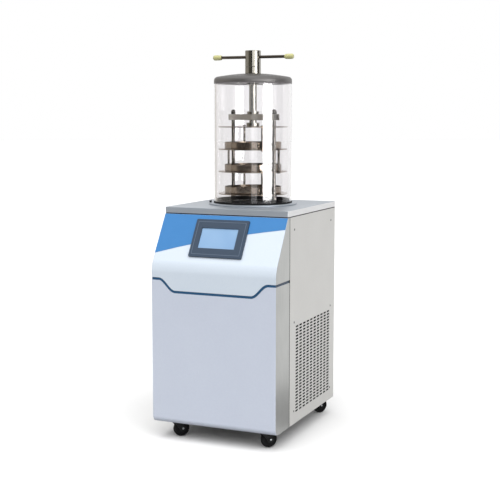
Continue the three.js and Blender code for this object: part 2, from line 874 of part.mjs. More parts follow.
function addPost(name, [x, y]) {
  const baseTop = flangeTopZ + clearance + shelfThickness;
  const shoulder = crossheadZ - clearance;
  const nutBore = crossheadZ + crossheadHeight + clearance + acornHexHeight;
  const post = turned([
    [0, flangeTopZ + clearance],
    [postStudRadius, flangeTopZ + clearance],
    [postStudRadius, baseTop + clearance],
    [postFootRadius, baseTop + clearance],
    [postFootRadius, shelfTop(shelfCount) - shelfThickness - clearance],
    [postRadius, shelfTop(shelfCount) - shelfThickness - clearance],
    [postRadius, shoulder],
    [postStudRadius, shoulder],
    [postStudRadius, nutBore],
    [0, nutBore],
  ], 10);
  add(name, moved(post, x, chamberY + y), stainless);
}

function addAcornNut(name, [x, y]) {
  const foot = crossheadZ + crossheadHeight + clearance;
  const shoulder = foot + acornHexHeight;
  const dome = turned([
    [0, foot],
    [acornDomeRadius, foot],
    [acornDomeRadius, shoulder],
    [acornDomeRadius * Math.cos(radians(40)), shoulder + acornDomeRadius * Math.sin(radians(40))],
    [0, shoulder + acornDomeRadius],
  ], 10);
  const hexagon = disc(acornAcross, foot, shoulder, 6);
  const bore = disc(postStudRadius + clearance, foot - 1, shoulder + clearance, 10);
  add(name, moved(dome.add(hexagon).subtract(bore), x, chamberY + y), stainless);
}

function addRack() {
  const places = pairAt(rackTurn);
  const baseZs = [flangeTopZ + clearance, flangeTopZ + clearance + shelfThickness];
  const base = drilled(
    ring(rackBaseBore, shelfRadius, ...baseZs, 36),
    places, postStudRadius + clearance, baseZs[0] - 1, baseZs[1] + 1, 10,
  );
  add('rack_base', moved(base, 0, chamberY), stainless);
  addPost('guide_post_a', places[0]);
  addPost('guide_post_b', places[1]);
  addAcornNut('acorn_nut_a', places[0]);
  addAcornNut('acorn_nut_b', places[1]);

  const top = crossheadZ + crossheadHeight;
  const reach = postCircle + crossheadOverhang;
  const bar = block(
    [-reach, reach],
    [-crossheadWidth / 2, crossheadWidth / 2],
    [crossheadZ, top],
  ).rotate([0, 0, rackTurn]);
  const boss = disc(crossheadBossRadius, top - clearance, top + crossheadBossHeight, 20);
  const bore = disc(spindleRadius + clearance, crossheadZ - 1, top + 2 * crossheadBossHeight, 16);
  const crosshead = drilled(
    bar.add(boss).subtract(bore), places, postStudRadius + clearance, crossheadZ - 1, top + 1, 10,
  );
  add('crosshead', moved(crosshead, 0, chamberY), aluminium);

  for (let number = 1; number <= shelfCount; number += 1) {
    addShelf(number);
  }
  for (let number = 1; number < shelfCount; number += 1) {
    addTray(number);
  }
}

// ---- Casters ---------------------------------------------------------------------------------------------

// Drawn with the stem's axis at the origin and the wheel trailing along +X.
function addCaster(place, x, y) {
  const group = new THREE.Group();
  group.position.set(x, y, 0);
  group.rotation.z = radians(casterTurn);
  part.add(group);

  const plateZ = wheelDrop + clearance;
  const plateTop = plateZ + casterPlateHeight;
  add(`caster_plate_${place}`, ring(
    kingpinRadius + clearance, casterPlateRadius, plateZ, plateTop, 20,
  ), darkSteel, group);

  const halfCheek = wheelWidth / 2 + clearance + cheekThickness;
  const cheekReach = 0.95 * Math.sqrt(casterPlateRadius ** 2 - halfCheek ** 2);
  const crown = disc(casterPlateRadius, wheelDrop - crownThickness, wheelDrop, 20);
  const kingpin = disc(kingpinRadius, wheelDrop - crownThickness, plateTop, 12);
  const cheekShape = new THREE.Shape();
  cheekShape.moveTo(cheekReach, wheelDrop);
  cheekShape.lineTo(-cheekReach, wheelDrop);
  cheekShape.lineTo(-cheekReach, wheelDrop - 3 * crownThickness);
  cheekShape.lineTo(casterTrail - 2 * axleHeadRadius, wheelRadius);
  cheekShape.absarc(casterTrail, wheelRadius, 2 * axleHeadRadius, Math.PI, 2 * Math.PI);
  const nearCheek = extruded(cheekShape, -halfCheek, -halfCheek + cheekThickness, 'y', 3);
  const farCheek = extruded(cheekShape, halfCheek - cheekThickness, halfCheek, 'y', 3);
  const axle = alongY(disc(axleRadius, -halfCheek, halfCheek, 10));
  const heads = alongY(joined(
    disc(axleHeadRadius, -halfCheek - axleHeadHeight, -halfCheek + cheekThickness / 2, 10),
    disc(axleHeadRadius, halfCheek - cheekThickness / 2, halfCheek + axleHeadHeight, 10),
  ));
  const pin = moved(joined(axle, heads), casterTrail, 0, wheelRadius);
  add(`caster_fork_${place}`, joined(crown, kingpin, nearCheek, farCheek, pin), blackPlastic, group);

  const flatToFlat = 1 / Math.cos(Math.PI / wheelSides);
  const rim = wheelRadius * flatToFlat;
  const half = wheelWidth / 2;
  const wheel = turned([
    [axleRadius + clearance, -half],
    [0.4 * wheelRadius, -half],
    [0.5 * wheelRadius, -0.7 * half],
    [0.75 * wheelRadius, -0.9 * half],
    [rim, -0.55 * half],
    [rim, 0.55 * half],
    [0.75 * wheelRadius, 0.9 * half],
    [0.5 * wheelRadius, 0.7 * half],
    [0.4 * wheelRadius, half],
    [axleRadius + clearance, half],
  ], wheelSides).rotate([0, 0, 180 / wheelSides]);
  add(`caster_wheel_${place}`, moved(alongY(wheel), casterTrail, 0, wheelRadius), blackRubber, group);
}

function addCasters() {
  const ends = {
    front: [halfWidth - frontCasterSideInset, frontY + casterEndInset],
    rear: [halfWidth - rearCasterSideInset, backY - casterEndInset],
  };
  for (const [end, [x, y]] of Object.entries(ends)) {
    addCaster(`${end}_left`, -x, y);
    addCaster(`${end}_right`, x, y);
  }
}

// ---- Refrigeration unit --------------------------------------------------------------------------------

function addCompressor() {
  const shell = turned([
    [0, deckZ],
    [compressorRadius, deckZ],
    [compressorRadius, deckZ + 0.7 * compressorHeight],
    [0.8 * compressorRadius, deckZ + 0.9 * compressorHeight],
    [0.35 * compressorRadius, deckZ + compressorHeight],
    [0, deckZ + compressorHeight],
  ], 16);
  add('compressor', moved(shell, compressorSideInset - halfWidth, backY - compressorBackInset), blackPaint);
}

function addCondenser() {
  const outerX = halfWidth - condenserSideInset;
  const shroudX = outerX - condenserThickness;
  const middleY = frontY + ventFront + ((ventColumns - 1) * ventPitchAlong + ventSlotLength) / 2;
  const span = [middleY - condenserLength / 2, middleY + condenserLength / 2];
  const fanZ = deckZ + condenserHeight / 2;
  const shroudFace = shroudX - shroudThickness;
  const coil = block([shroudX, outerX], span, [deckZ, deckZ + condenserHeight]);
  const shroudPlate = block([shroudFace, shroudX + clearance], span, [deckZ, deckZ + condenserHeight]);
  const throat = alongX(disc(shroudBore, -shroudThickness - 1, 0, 24));
  const shroud = shroudPlate.subtract(moved(throat, shroudX, middleY, fanZ));
  const bracketX = shroudFace - bracketReach;
  const strut = block(
    [bracketX, bracketX + bracketThickness],
    [middleY - bracketWidth / 2, middleY + bracketWidth / 2],
    [deckZ, deckZ + condenserHeight],
  );
  const feet = [deckZ, deckZ + condenserHeight - bracketWidth].map((low) => block(
    [bracketX, shroudFace + clearance],
    [middleY - bracketWidth / 2, middleY + bracketWidth / 2],
    [low, low + bracketWidth],
  ));
  const motor = disc(motorRadius, 0, motorLength, 14);
  const shaft = disc(fanShaftRadius, 0, motorLength + clearance + fanHubLength, 10);
  const drive = moved(alongX(joined(motor, shaft)), bracketX + bracketThickness / 2, middleY, fanZ);
  add('condenser', joined(coil, shroud, strut, ...feet, drive), aluminium);

  const hub = disc(fanHubRadius, 0, fanHubLength, 14);
  const blade = block(
    [fanHubRadius - fanRootDepth, fanRadius],
    [-fanBladeWidth / 2, fanBladeWidth / 2],
    [-fanBladeThickness / 2, fanBladeThickness / 2],
  ).rotate([THREE.MathUtils.radToDeg(fanBladePitch), 0, 0]).translate([0, 0, fanHubLength / 2]);
  let fan = hub;
  for (let count = 0; count < fanBlades; count += 1) {
    fan = fan.add(blade.rotate([0, 0, (360 * count) / fanBlades]));
  }
  fan = fan.subtract(disc(fanShaftRadius + clearance, -1, 2 * fanHubLength, 10));
  const fanX = bracketX + bracketThickness / 2 + motorLength + clearance;
  add('fan_rotor', moved(alongX(fan), fanX, middleY, fanZ), blackPlastic);
}

// ---- Rear fittings ---------------------------------------------------------------------------------------

const inletZ = coverZ - inletDrop;
const inletBodyWidth = inletWidth - 2 * inletBodyMargin;
const inletBodyHeight = inletHeight - 2 * inletBodyMargin;
const wellZ = inletZ + (inletBodyHeight - rockerWellHeight) / 2 - inletBodyMargin / 2;
const socketZ = inletZ - (inletBodyHeight - socketHeight) / 2 + inletBodyMargin;

function addPowerInlet() {
  const face = backY + clearance + inletFlange;
  const flange = block(
    [inletX - inletWidth / 2, inletX + inletWidth / 2],
    [backY + clearance, face],
    [inletZ - inletHeight / 2, inletZ + inletHeight / 2],
  );
  const body = block(
    [inletX - inletBodyWidth / 2, inletX + inletBodyWidth / 2],
    [face - inletBodyDepth, face - inletFlange / 2],
    [inletZ - inletBodyHeight / 2, inletZ + inletBodyHeight / 2],
  );
  const socket = block(
    [inletX - socketWidth / 2, inletX + socketWidth / 2],
    [face - socketDepth, face + 1],
    [socketZ - socketHeight / 2, socketZ + socketHeight / 2],
  );
  const well = block(
    [inletX - rockerWidth / 2 - clearance, inletX + rockerWidth / 2 + clearance],
    [face - rockerWellDepth, face + 1],
    [wellZ - rockerWellHeight / 2, wellZ + rockerWellHeight / 2],
  );
  add('power_inlet', flange.add(body).subtract(socket).subtract(well), blackPlastic);

  const half = rockerLength / 2;
  const rockerShape = outline([
    [-half / 2, -half / 2],
    [half / 4, -half],
    [half / 2, -half],
    [half / 4, 0],
    [half / 2, half],
    [half / 4, half],
    [-half / 2, half / 2],
  ]);
  const rocker = extruded(rockerShape, -rockerWidth / 2, rockerWidth / 2, 'x')
    .rotate([-rockerTilt, 0, 0])
    .translate([inletX, face - rockerPivotOut, wellZ]);
  add('power_switch', rocker, blackPlastic);
}

function addVacuumPort() {
  const start = -portInside;
  const port = turned([
    [portBore, start],
    [portNeckRadius, start],
    [portNeckRadius, clearance],
    [portFlangeRadius, clearance],
    [portFlangeRadius, portFlangeThickness],
    [portNeckRadius, portFlangeThickness],
    [portNeckRadius, portProud - 2 * portFlangeThickness],
    [portFlangeRadius, portProud - portFlangeThickness],
    [portFlangeRadius, portProud],
    [portBore, portProud],
  ], 16);
  add('vacuum_port', moved(alongY(port), portX, backY, coverZ - portDrop), stainless);
}

function addDrainValve() {
  const z = coverZ - valveDrop;
  const body = turned([
    [valveBore, -portInside],
    [valveNeckRadius, -portInside],
    [valveNeckRadius, clearance],
    [valveRadius, clearance],
    [valveRadius, valveLength],
    [valveNozzleRadius, valveLength],
    [valveNozzleRadius, valveLength + valveNozzleLength],
    [valveBore, valveLength + valveNozzleLength],
  ], 12);
  const stemFoot = valveRadius * Math.cos(Math.PI / 12);
  const stem = disc(valveStemRadius, stemFoot - 2, stemFoot + valveStemHeight, 10);
  const whole = alongY(body).add(moved(stem, 0, valveLength / 2));
  add('drain_valve', moved(whole, valveX, backY, z), brass);

  const seatZ = stemFoot + valveStemHeight - leverThickness;
  const lever = block(
    [-leverWidth / 2, leverLength], [-leverWidth / 2, leverWidth / 2], [seatZ, seatZ + leverThickness],
  ).subtract(disc(valveStemRadius + clearance, seatZ - 1, seatZ + 2 * leverThickness, 10));
  add('drain_lever', moved(lever, valveX, backY + valveLength / 2, z), blackPaint);
}

// ---- The whole -----------------------------------------------------------------------------------------

addBasePan();
addSidePanel('left_side_panel', -1);
addSidePanel('right_side_panel', 1);
addBackPanel();
addTopCover();
addFront();
addControls();
addPowerInlet();
addVacuumPort();
addDrainValve();
addColdTrap();
addCompressor();
addCondenser();
addChamber();
addPress();
addRack();
addCasters();

export default part;
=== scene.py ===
import json
import math
import bmesh
import bpy
from mathutils import Matrix, Vector

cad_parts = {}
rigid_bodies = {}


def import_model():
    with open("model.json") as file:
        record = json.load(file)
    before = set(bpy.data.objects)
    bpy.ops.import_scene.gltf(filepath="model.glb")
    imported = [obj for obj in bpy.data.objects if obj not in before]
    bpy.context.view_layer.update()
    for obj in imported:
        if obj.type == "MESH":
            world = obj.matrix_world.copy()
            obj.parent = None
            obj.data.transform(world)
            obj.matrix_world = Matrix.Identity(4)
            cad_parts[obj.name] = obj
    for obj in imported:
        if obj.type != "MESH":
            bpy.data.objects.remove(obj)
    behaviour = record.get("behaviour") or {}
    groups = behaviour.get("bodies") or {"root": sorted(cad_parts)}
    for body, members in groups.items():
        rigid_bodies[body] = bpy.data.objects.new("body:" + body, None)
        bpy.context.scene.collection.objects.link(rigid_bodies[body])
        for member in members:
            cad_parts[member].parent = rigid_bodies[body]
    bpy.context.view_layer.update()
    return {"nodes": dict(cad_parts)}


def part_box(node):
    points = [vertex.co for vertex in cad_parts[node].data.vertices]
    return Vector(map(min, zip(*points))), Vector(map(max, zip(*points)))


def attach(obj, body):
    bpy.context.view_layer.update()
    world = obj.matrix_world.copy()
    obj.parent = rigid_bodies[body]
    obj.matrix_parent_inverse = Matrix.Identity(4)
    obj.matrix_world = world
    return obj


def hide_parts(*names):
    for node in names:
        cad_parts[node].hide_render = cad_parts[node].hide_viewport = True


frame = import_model()
scene = bpy.context.scene
print("frame loaded:", len(frame["nodes"]), "nodes")


# Small tools. Lengths are millimetres until a piece is finished.

clearance = 0.3    # between pieces that touch or slide
near = 0.01        # closer than this counts as on the line
squareOn = 0.8     # a face whose normal lies this much along an axis faces that way
squareTurn = 60    # an edge that bends by more degrees is a corner, not part of a curve
weldMm = 1e-4      # points this close are one point, before and after the change to metres
weldMetres = 1e-6
toMetres = (0.001, 0.001, 0.001)


def span(node):
    low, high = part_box(node)
    return low * 1000, high * 1000


def middle(node):
    low, high = span(node)
    return (low + high) / 2


def toLinear(hexCode):
    shares = [int(hexCode[i:i + 2], 16) / 255 for i in (1, 3, 5)]
    return [c / 12.92 if c <= 0.04045 else ((c + 0.055) / 1.055) ** 2.4 for c in shares] + [1.0]


def meshOf(name, bm):
    mesh = bpy.data.meshes.new(name)
    bm.to_mesh(mesh)
    bm.free()
    return mesh


def placed(name, data):
    thing = bpy.data.objects.new(name, data)
    scene.collection.objects.link(thing)
    return thing


topZ = span("top_cover")[1].z
chamberY = middle("lid").y
frontY = span("upper_fascia")[0].y
halfWidth = span("top_cover")[1].x


# Materials

# Every finish: its colour and a second one it drifts to, the grain's size in mm along X, Y and Z,
# how far roughness and height follow the grain, and a slow cloud of handling marks.
finishes = {
    # powder coat on sheet steel, satin, a faint orange peel
    "satinWhitePowderCoat": dict(
        colour="#cdd4e2", drift="#c8cfde", roughness=0.38, grain=(5, 5, 5), swing=0.04,
        height=0.03),
    # the same coat on the panel above the seam, a shade cooler
    "coolWhitePowderCoat": dict(
        colour="#d4dee9", drift="#cfdae6", roughness=0.36, grain=(5, 5, 5), swing=0.04,
        height=0.03),
    # fine-structure grey powder coat on sheet steel, even and slightly rough
    "greyPowderCoat": dict(
        colour="#d9d8d5", drift="#d2d1ce", roughness=0.45, grain=(3, 3, 3), swing=0.05,
        height=0.04),
    # polyester film printed from behind, smooth and even
    "blueLabelFilm": dict(
        colour="#317ab9", drift="#357ebd", roughness=0.32, grain=(40, 40, 40), swing=0.02),
    # extruded PVC inlay, dark blue, satin
    "darkBluePvc": dict(
        colour="#164a70", drift="#1a5078", roughness=0.35, grain=(6, 2, 2), swing=0.05,
        height=0.02),
    # moulded ABS with a fine spark-eroded texture
    "slateAbs": dict(
        colour="#3b4a5c", drift="#364456", roughness=0.48, grain=(1.6, 1.6, 1.6), swing=0.06,
        height=0.04, specular=0.35),
    # the same ABS, a lighter satin face behind the screen's rim
    "greyAbs": dict(
        colour="#5a6a7e", drift="#536377", roughness=0.42, grain=(1.6, 1.6, 1.6), swing=0.06,
        height=0.03),
    # black moulded nylon, satin, slightly mottled
    "blackNylon": dict(
        colour="#121314", drift="#191a1b", roughness=0.42, grain=(2.5, 2.5, 2.5), swing=0.08,
        height=0.05, specular=0.25),
    # black vulcanised rubber, matt, with a dusty bloom
    "blackRubber": dict(
        colour="#0e0e0f", drift="#171718", roughness=0.6, grain=(4, 4, 4), swing=0.1, height=0.06,
        specular=0.2),
    # cast ivory phenolic, glossy
    "ivoryPhenolic": dict(
        colour="#cbc994", drift="#bfbc80", roughness=0.22, grain=(9, 9, 9), swing=0.05),
    # moulded silicone gasket, soft; its pale silicone is drawn grey as painted shade under the
    # lid's rim
    "shadedGasketSilicone": dict(
        colour="#6a6567", drift="#757072", roughness=0.4, grain=(6, 6, 6), swing=0.05, height=0.02),
    # closed-cell elastomer foam, matt with small cells
    "closedCellFoam": dict(
        colour="#2b2b2c", drift="#39393a", roughness=0.9, grain=(3, 3, 3), swing=0.05, height=0.3),
    # near-black foam, painted shade: it stands behind the vent slots and the side seams so that
    # they read dark
    "paintedShadeFoam": dict(
        colour="#0b0b0b", drift="#141414", roughness=0.95, grain=(2, 2, 2), swing=0.05, height=0.3,
        specular=0.1),
    # black enamel on pressed steel, glossy
    "blackEnamel": dict(
        colour="#141517", drift="#1a1b1e", roughness=0.25, grain=(8, 8, 8), swing=0.05,
        height=0.02),
    # stainless sheet brushed along X, grain drawn coarser than the real 0.1 mm so that it shows
    "brushedStainless": dict(
        colour="#bac1c9", drift="#aab1b9", roughness=0.34, metallic=1, grain=(90, 2.2, 2.2),
        swing=0.1, height=0.03),
    # stainless sheet ground dull along X, which scatters light nearly as paint does
    "dullGroundStainless": dict(
        colour="#b2b8c0", drift="#a6adb5", roughness=0.42, metallic=0.5, grain=(90, 2.2, 2.2),
        swing=0.1, height=0.03),
    # the cover's folded sides, ground along their length; their colour is painted far paler than
    # the top's, as painted light where they face the lamps
    "paintedLightSideStainless": dict(
        colour="#ececed", drift="#e2e2e3", roughness=0.42, metallic=0.4, grain=(2.2, 90, 2.2),
        swing=0.1, height=0.03),
    # stainless sheet pressed and dull-pickled, for shelves and trays
    "satinStainless": dict(
        colour="#a89c8e", drift="#94887c", roughness=0.2, metallic=1, grain=(30, 30, 2),
        swing=0.08),
    # bright drawn stainless rod
    "drawnStainless": dict(
        colour="#6f6b66", drift="#605c58", roughness=0.2, metallic=1, grain=(2, 2, 40), swing=0.06),
    # stainless turned on a lathe and polished, with fine rings about the chamber's axis
    "turnedStainless": dict(
        colour="#a29f96", drift="#8d8a82", roughness=0.18, metallic=1, grain=(1.6, 1.6, 1.6),
        swing=0.06, rings=True),
    # the same turned plate blasted with beads, so that it spreads what it mirrors
    "beadBlastedStainless": dict(
        colour="#908e8d", drift="#7e7c7b", roughness=0.5, metallic=1, grain=(1.6, 1.6, 1.6),
        swing=0.07, height=0.02, rings=True),
    # stainless bar drawn and left dull, darker than the turned pieces
    "dullStainless": dict(
        colour="#645c54", drift="#554e47", roughness=0.26, metallic=1, grain=(40, 2, 2),
        swing=0.06),
    # stainless plate drawn brown-grey and dark: painted shade and painted dark reflection for the
    # well at the chamber's foot
    "paintedDarkWellStainless": dict(
        colour="#5a544f", drift="#3c3734", roughness=0.22, metallic=1, grain=(26, 26, 4),
        swing=0.12),
    # milled aluminium, slightly dull
    "milledAluminium": dict(
        colour="#b4b1ab", drift="#a4a19b", roughness=0.3, metallic=1, grain=(14, 2, 2), swing=0.08,
        height=0.03),
    # zinc-plated steel screws and axles
    "zincPlatedSteel": dict(
        colour="#9fa2a4", drift="#8d9092", roughness=0.3, metallic=1, grain=(3, 3, 3), swing=0.1,
        height=0.02),
    # blackened steel screws, satin
    "blackenedSteel": dict(
        colour="#2a2a2c", drift="#3a3a3c", roughness=0.4, metallic=1, grain=(3, 3, 3), swing=0.1,
        height=0.02),
    # stainless sheet brushed upright
    "uprightBrushedStainless": dict(
        colour="#c6c7c5", drift="#b7b8b6", roughness=0.36, metallic=1, grain=(2.2, 2.2, 90),
        swing=0.1, height=0.02),
    # machined brass
    "machinedBrass": dict(
        colour="#c2a25c", drift="#b1914d", roughness=0.28, metallic=1, grain=(2, 20, 2), swing=0.08,
        height=0.02),
    # stacked aluminium fins of a condenser, a fine vertical comb
    "aluminiumFins": dict(
        colour="#8f9294", drift="#6f7274", roughness=0.45, metallic=1, grain=(60, 2.4, 60),
        swing=0.15, height=0.5),
}


def addNode(tree, kind, settings=None, links=None):
    node = tree.nodes.new("ShaderNode" + kind)
    for key, value in (settings or {}).items():
        if isinstance(key, str) and hasattr(node, key):
            setattr(node, key, value)
        else:
            node.inputs[key].default_value = value
    for key, source in (links or {}).items():
        tree.links.new(source, node.inputs[key])
    return node


def reckoned(tree, operation, *terms, clamped=False):
    # a math node's result; each term is a number or another node's output
    node = addNode(tree, "Math", {"operation": operation, "use_clamp": clamped})
    for socket, term in zip(node.inputs, terms):
        if isinstance(term, bpy.types.NodeSocket):
            tree.links.new(term, socket)
        else:
            socket.default_value = term
    return node.outputs["Value"]


def emptyMaterial(name):
    material = bpy.data.materials.new(name)
    material.use_nodes = True
    material.node_tree.nodes.clear()
    return material, material.node_tree


def output(tree, shader, kind="Material"):
    addNode(tree, "Output" + kind, links={"Surface": shader.outputs[0]})


# how every grained finish mixes its fine grain with its slow cloud, and how far the mix spreads
grainLook = dict(
    grain={"Scale": 1.0, "Detail": 4.0, "Roughness": 0.6}, grainShare=0.6,
    cloud={"Scale": 9.0, "Detail": 3.0, "Roughness": 0.55}, cloudShare=0.4,
    low=0.3, high=0.7, bump=0.5)


def twoTones(tree, signal, low, high, look):
    tint = addNode(tree, "ValToRGB", links={"Fac": signal})
    for element, position, key in zip(tint.color_ramp.elements, (low, high), ("colour", "drift")):
        element.position = position
        element.color = toLinear(look[key])
    return tint


def grainedMaterial(name, look):
    g = grainLook
    material, tree = emptyMaterial(name)
    place = addNode(tree, "TexCoord").outputs["Object"]
    if look.get("rings"):
        centred = addNode(
            tree, "Mapping", {"Location": (0, -chamberY / 1000, 0)}, {"Vector": place})
        split = addNode(tree, "SeparateXYZ", links={"Vector": centred.outputs["Vector"]})
        flat = addNode(
            tree, "CombineXYZ", links={"X": split.outputs["X"], "Y": split.outputs["Y"]})
        radius = addNode(
            tree, "VectorMath", {"operation": "LENGTH"}, {0: flat.outputs["Vector"]})
        place = addNode(
            tree, "CombineXYZ",
            links={"X": radius.outputs["Value"], "Z": split.outputs["Z"]}).outputs["Vector"]
    scaled = addNode(
        tree, "Mapping", {"Scale": [1000 / size for size in look["grain"]]}, {"Vector": place})
    grain = addNode(
        tree, "TexNoise", g["grain"], {"Vector": scaled.outputs["Vector"]}).outputs["Fac"]
    cloud = addNode(tree, "TexNoise", g["cloud"], {"Vector": place}).outputs["Fac"]
    blend = reckoned(
        tree, "MULTIPLY_ADD", grain, g["grainShare"],
        reckoned(tree, "MULTIPLY", cloud, g["cloudShare"]), clamped=True)
    tint = twoTones(tree, blend, g["low"], g["high"], look)
    gloss = addNode(
        tree, "MapRange",
        {"From Min": g["low"], "From Max": g["high"],
         "To Min": look["roughness"] - look["swing"] / 2,
         "To Max": look["roughness"] + look["swing"] / 2}, {"Value": blend})
    shader = addNode(
        tree, "BsdfPrincipled",
        {"Metallic": look.get("metallic", 0), "Specular IOR Level": look.get("specular", 0.5)},
        {"Base Color": tint.outputs["Color"], "Roughness": gloss.outputs["Result"]})
    if look.get("height"):
        bump = addNode(
            tree, "Bump", {"Strength": g["bump"], "Distance": look["height"] / 1000},
            {"Height": grain})
        tree.links.new(bump.outputs["Normal"], shader.inputs["Normal"])
    output(tree, shader)
    return material


def clearMaterial(name, look):
    material, tree = emptyMaterial(name)
    place = addNode(tree, "TexCoord").outputs["Object"]
    haze = addNode(tree, "TexNoise", look["cloud"], {"Vector": place})
    gloss = addNode(
        tree, "MapRange", {"To Min": 0.0, "To Max": look["haze"]},
        {"Value": haze.outputs["Fac"]})
    shader = addNode(
        tree, "BsdfPrincipled",
        {"Base Color": toLinear(look["colour"]), "IOR": look["ior"], "Transmission Weight": 1.0},
        {"Roughness": gloss.outputs["Result"]})
    output(tree, shader)
    return material


def litScreenMaterial(name, look):
    material, tree = emptyMaterial(name)
    place = addNode(tree, "TexCoord").outputs["Object"]
    drift = addNode(tree, "TexNoise", look["cloud"], {"Vector": place})
    tint = twoTones(tree, drift.outputs["Fac"], look["low"], look["high"], look)
    shader = addNode(
        tree, "BsdfPrincipled",
        {"Roughness": look["roughness"], "Emission Strength": look["glow"]},
        {"Base Color": tint.outputs["Color"], "Emission Color": tint.outputs["Color"]})
    output(tree, shader)
    return material


def dressed(node, material):
    slots = frame["nodes"][node].data.materials
    slots.clear()
    slots.append(finish[material])


finish = {name: grainedMaterial(name, look) for name, look in finishes.items()}
# cast acrylic tube, polished, clear with the least grey in it
finish["castAcrylic"] = clearMaterial("castAcrylic", dict(
    colour="#faf9fa", ior=1.49, haze=0.015, cloud={"Scale": 14.0, "Detail": 2.0}))
# glass over a backlit display, smooth and softly glowing
finish["backlitGlass"] = litScreenMaterial("backlitGlass", dict(
    colour="#87a9cb", drift="#7da0c6", low=0.35, high=0.7, roughness=0.14, glow=0.1,
    cloud={"Scale": 11.0, "Detail": 1.0}))
print("materials made:", len(finish))


# Shaping tools

# how many steps a turned piece takes round its axis, by its kind
rounds = dict(plate=128, vessel=96, tyre=64, hub=64, rod=48, bar=32, pin=24, screw=20)


def soften(bm, width, segments=2, over=30, chosen=None):
    edges = [
        e for e in bm.edges
        if len(e.link_faces) == 2 and e.calc_face_angle(0) > math.radians(over)
        and (chosen is None or chosen(e))]
    bmesh.ops.bevel(
        bm, geom=edges, offset=width, segments=segments, profile=0.5, affect="EDGES", material=-1)


def turned(profile, steps, closed=False, edge=0.0):
    bm = bmesh.new()
    line = [bm.verts.new((radius, 0, height)) for radius, height in profile]
    for first, second in zip(line, line[1:]):
        bm.edges.new((first, second))
    if closed:
        bm.edges.new((line[-1], line[0]))
    bmesh.ops.spin(
        bm, geom=bm.verts[:] + bm.edges[:], cent=(0, 0, 0), axis=(0, 0, 1), angle=math.tau,
        steps=steps, use_merge=True)
    bmesh.ops.remove_doubles(bm, verts=bm.verts, dist=weldMm)
    bmesh.ops.recalc_face_normals(bm, faces=bm.faces)
    if edge:
        soften(bm, edge)
    return bm


def block(low, high, edge=0.0, segments=2):
    bm = bmesh.new()
    bmesh.ops.create_cube(bm, size=1)
    size = Vector(high) - Vector(low)
    bmesh.ops.scale(bm, vec=size, verts=bm.verts)
    bmesh.ops.translate(bm, vec=(Vector(low) + Vector(high)) / 2, verts=bm.verts)
    if edge:
        soften(bm, edge, segments)
    return bm


def shifted(bm, x=0, y=0, z=0):
    bmesh.ops.translate(bm, vec=(x, y, z), verts=bm.verts)
    return bm


def swung(bm, degrees):
    # about the upright through the origin
    turn = Matrix.Rotation(math.radians(degrees), 3, "Z")
    bmesh.ops.rotate(bm, cent=(0, 0, 0), matrix=turn, verts=bm.verts)
    return bm


def laidAlong(bm, axis):
    degrees, about = {"x": (90, "Y"), "y": (-90, "X")}[axis]
    turn = Matrix.Rotation(math.radians(degrees), 3, about)
    bmesh.ops.transform(bm, matrix=turn.to_4x4(), verts=bm.verts)
    return bm


def slicedAt(bm, direction, places):
    # new edges across the whole mesh at each place along a direction
    for place in places:
        bmesh.ops.bisect_plane(
            bm, geom=bm.verts[:] + bm.edges[:] + bm.faces[:], dist=0.001,
            plane_co=Vector(direction) * place, plane_no=direction)


def flatSheet(width, height):
    bm = bmesh.new()
    bmesh.ops.create_grid(bm, x_segments=1, y_segments=1, size=0.5)
    bmesh.ops.scale(bm, vec=(width, height, 1), verts=bm.verts)
    return bm


def pushed(bm, grown, way):
    # moves the points that an extrusion has just made
    fresh = [item for item in grown["geom"] if isinstance(item, bmesh.types.BMVert)]
    bmesh.ops.translate(bm, vec=way, verts=fresh)


def wallProfile(inner, outer, low, high):
    return [(inner, low), (outer, low), (outer, high), (inner, high)]


def withoutFaces(bm, test, context="FACES"):
    bmesh.ops.delete(bm, geom=[face for face in bm.faces if test(face)], context=context)
    return bm


def gather(*parts):
    whole = bmesh.new()
    for bm in parts:
        carrier = meshOf("carrier", bm)
        whole.from_mesh(carrier)
        bpy.data.meshes.remove(carrier)
    return whole


def walled(bm, thickness):
    # gives an open sheet its wall, behind the faces that show
    bmesh.ops.recalc_face_normals(bm, faces=bm.faces)
    bmesh.ops.solidify(bm, geom=bm.faces[:], thickness=thickness)
    return bm


def copyOfNode(node):
    bm = bmesh.new()
    bm.from_mesh(frame["nodes"][node].data)
    bmesh.ops.remove_doubles(bm, verts=bm.verts, dist=weldMetres)
    bmesh.ops.scale(bm, vec=(1000, 1000, 1000), verts=bm.verts)
    bmesh.ops.dissolve_limit(bm, angle_limit=math.radians(1), verts=bm.verts, edges=bm.edges)
    return bm


def finished(
        name, bm, material, replaced=(), body="cabinet", sharp=35, recalculated=True):
    bmesh.ops.scale(bm, vec=toMetres, verts=bm.verts)
    bmesh.ops.remove_doubles(bm, verts=bm.verts, dist=weldMetres)
    if recalculated:
        bmesh.ops.recalc_face_normals(bm, faces=bm.faces)
    mesh = meshOf(name, bm)
    mesh.shade_smooth()
    mesh.set_sharp_from_angle(angle=math.radians(sharp))
    mesh.materials.append(finish[material])
    piece = placed(name, mesh)
    piece["sharp"] = sharp
    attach(piece, body)
    if replaced:
        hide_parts(*replaced)
    return piece


def addModifier(piece, kind, **settings):
    modifier = piece.modifiers.new(kind.lower(), kind)
    for key, value in settings.items():
        setattr(modifier, key, value)


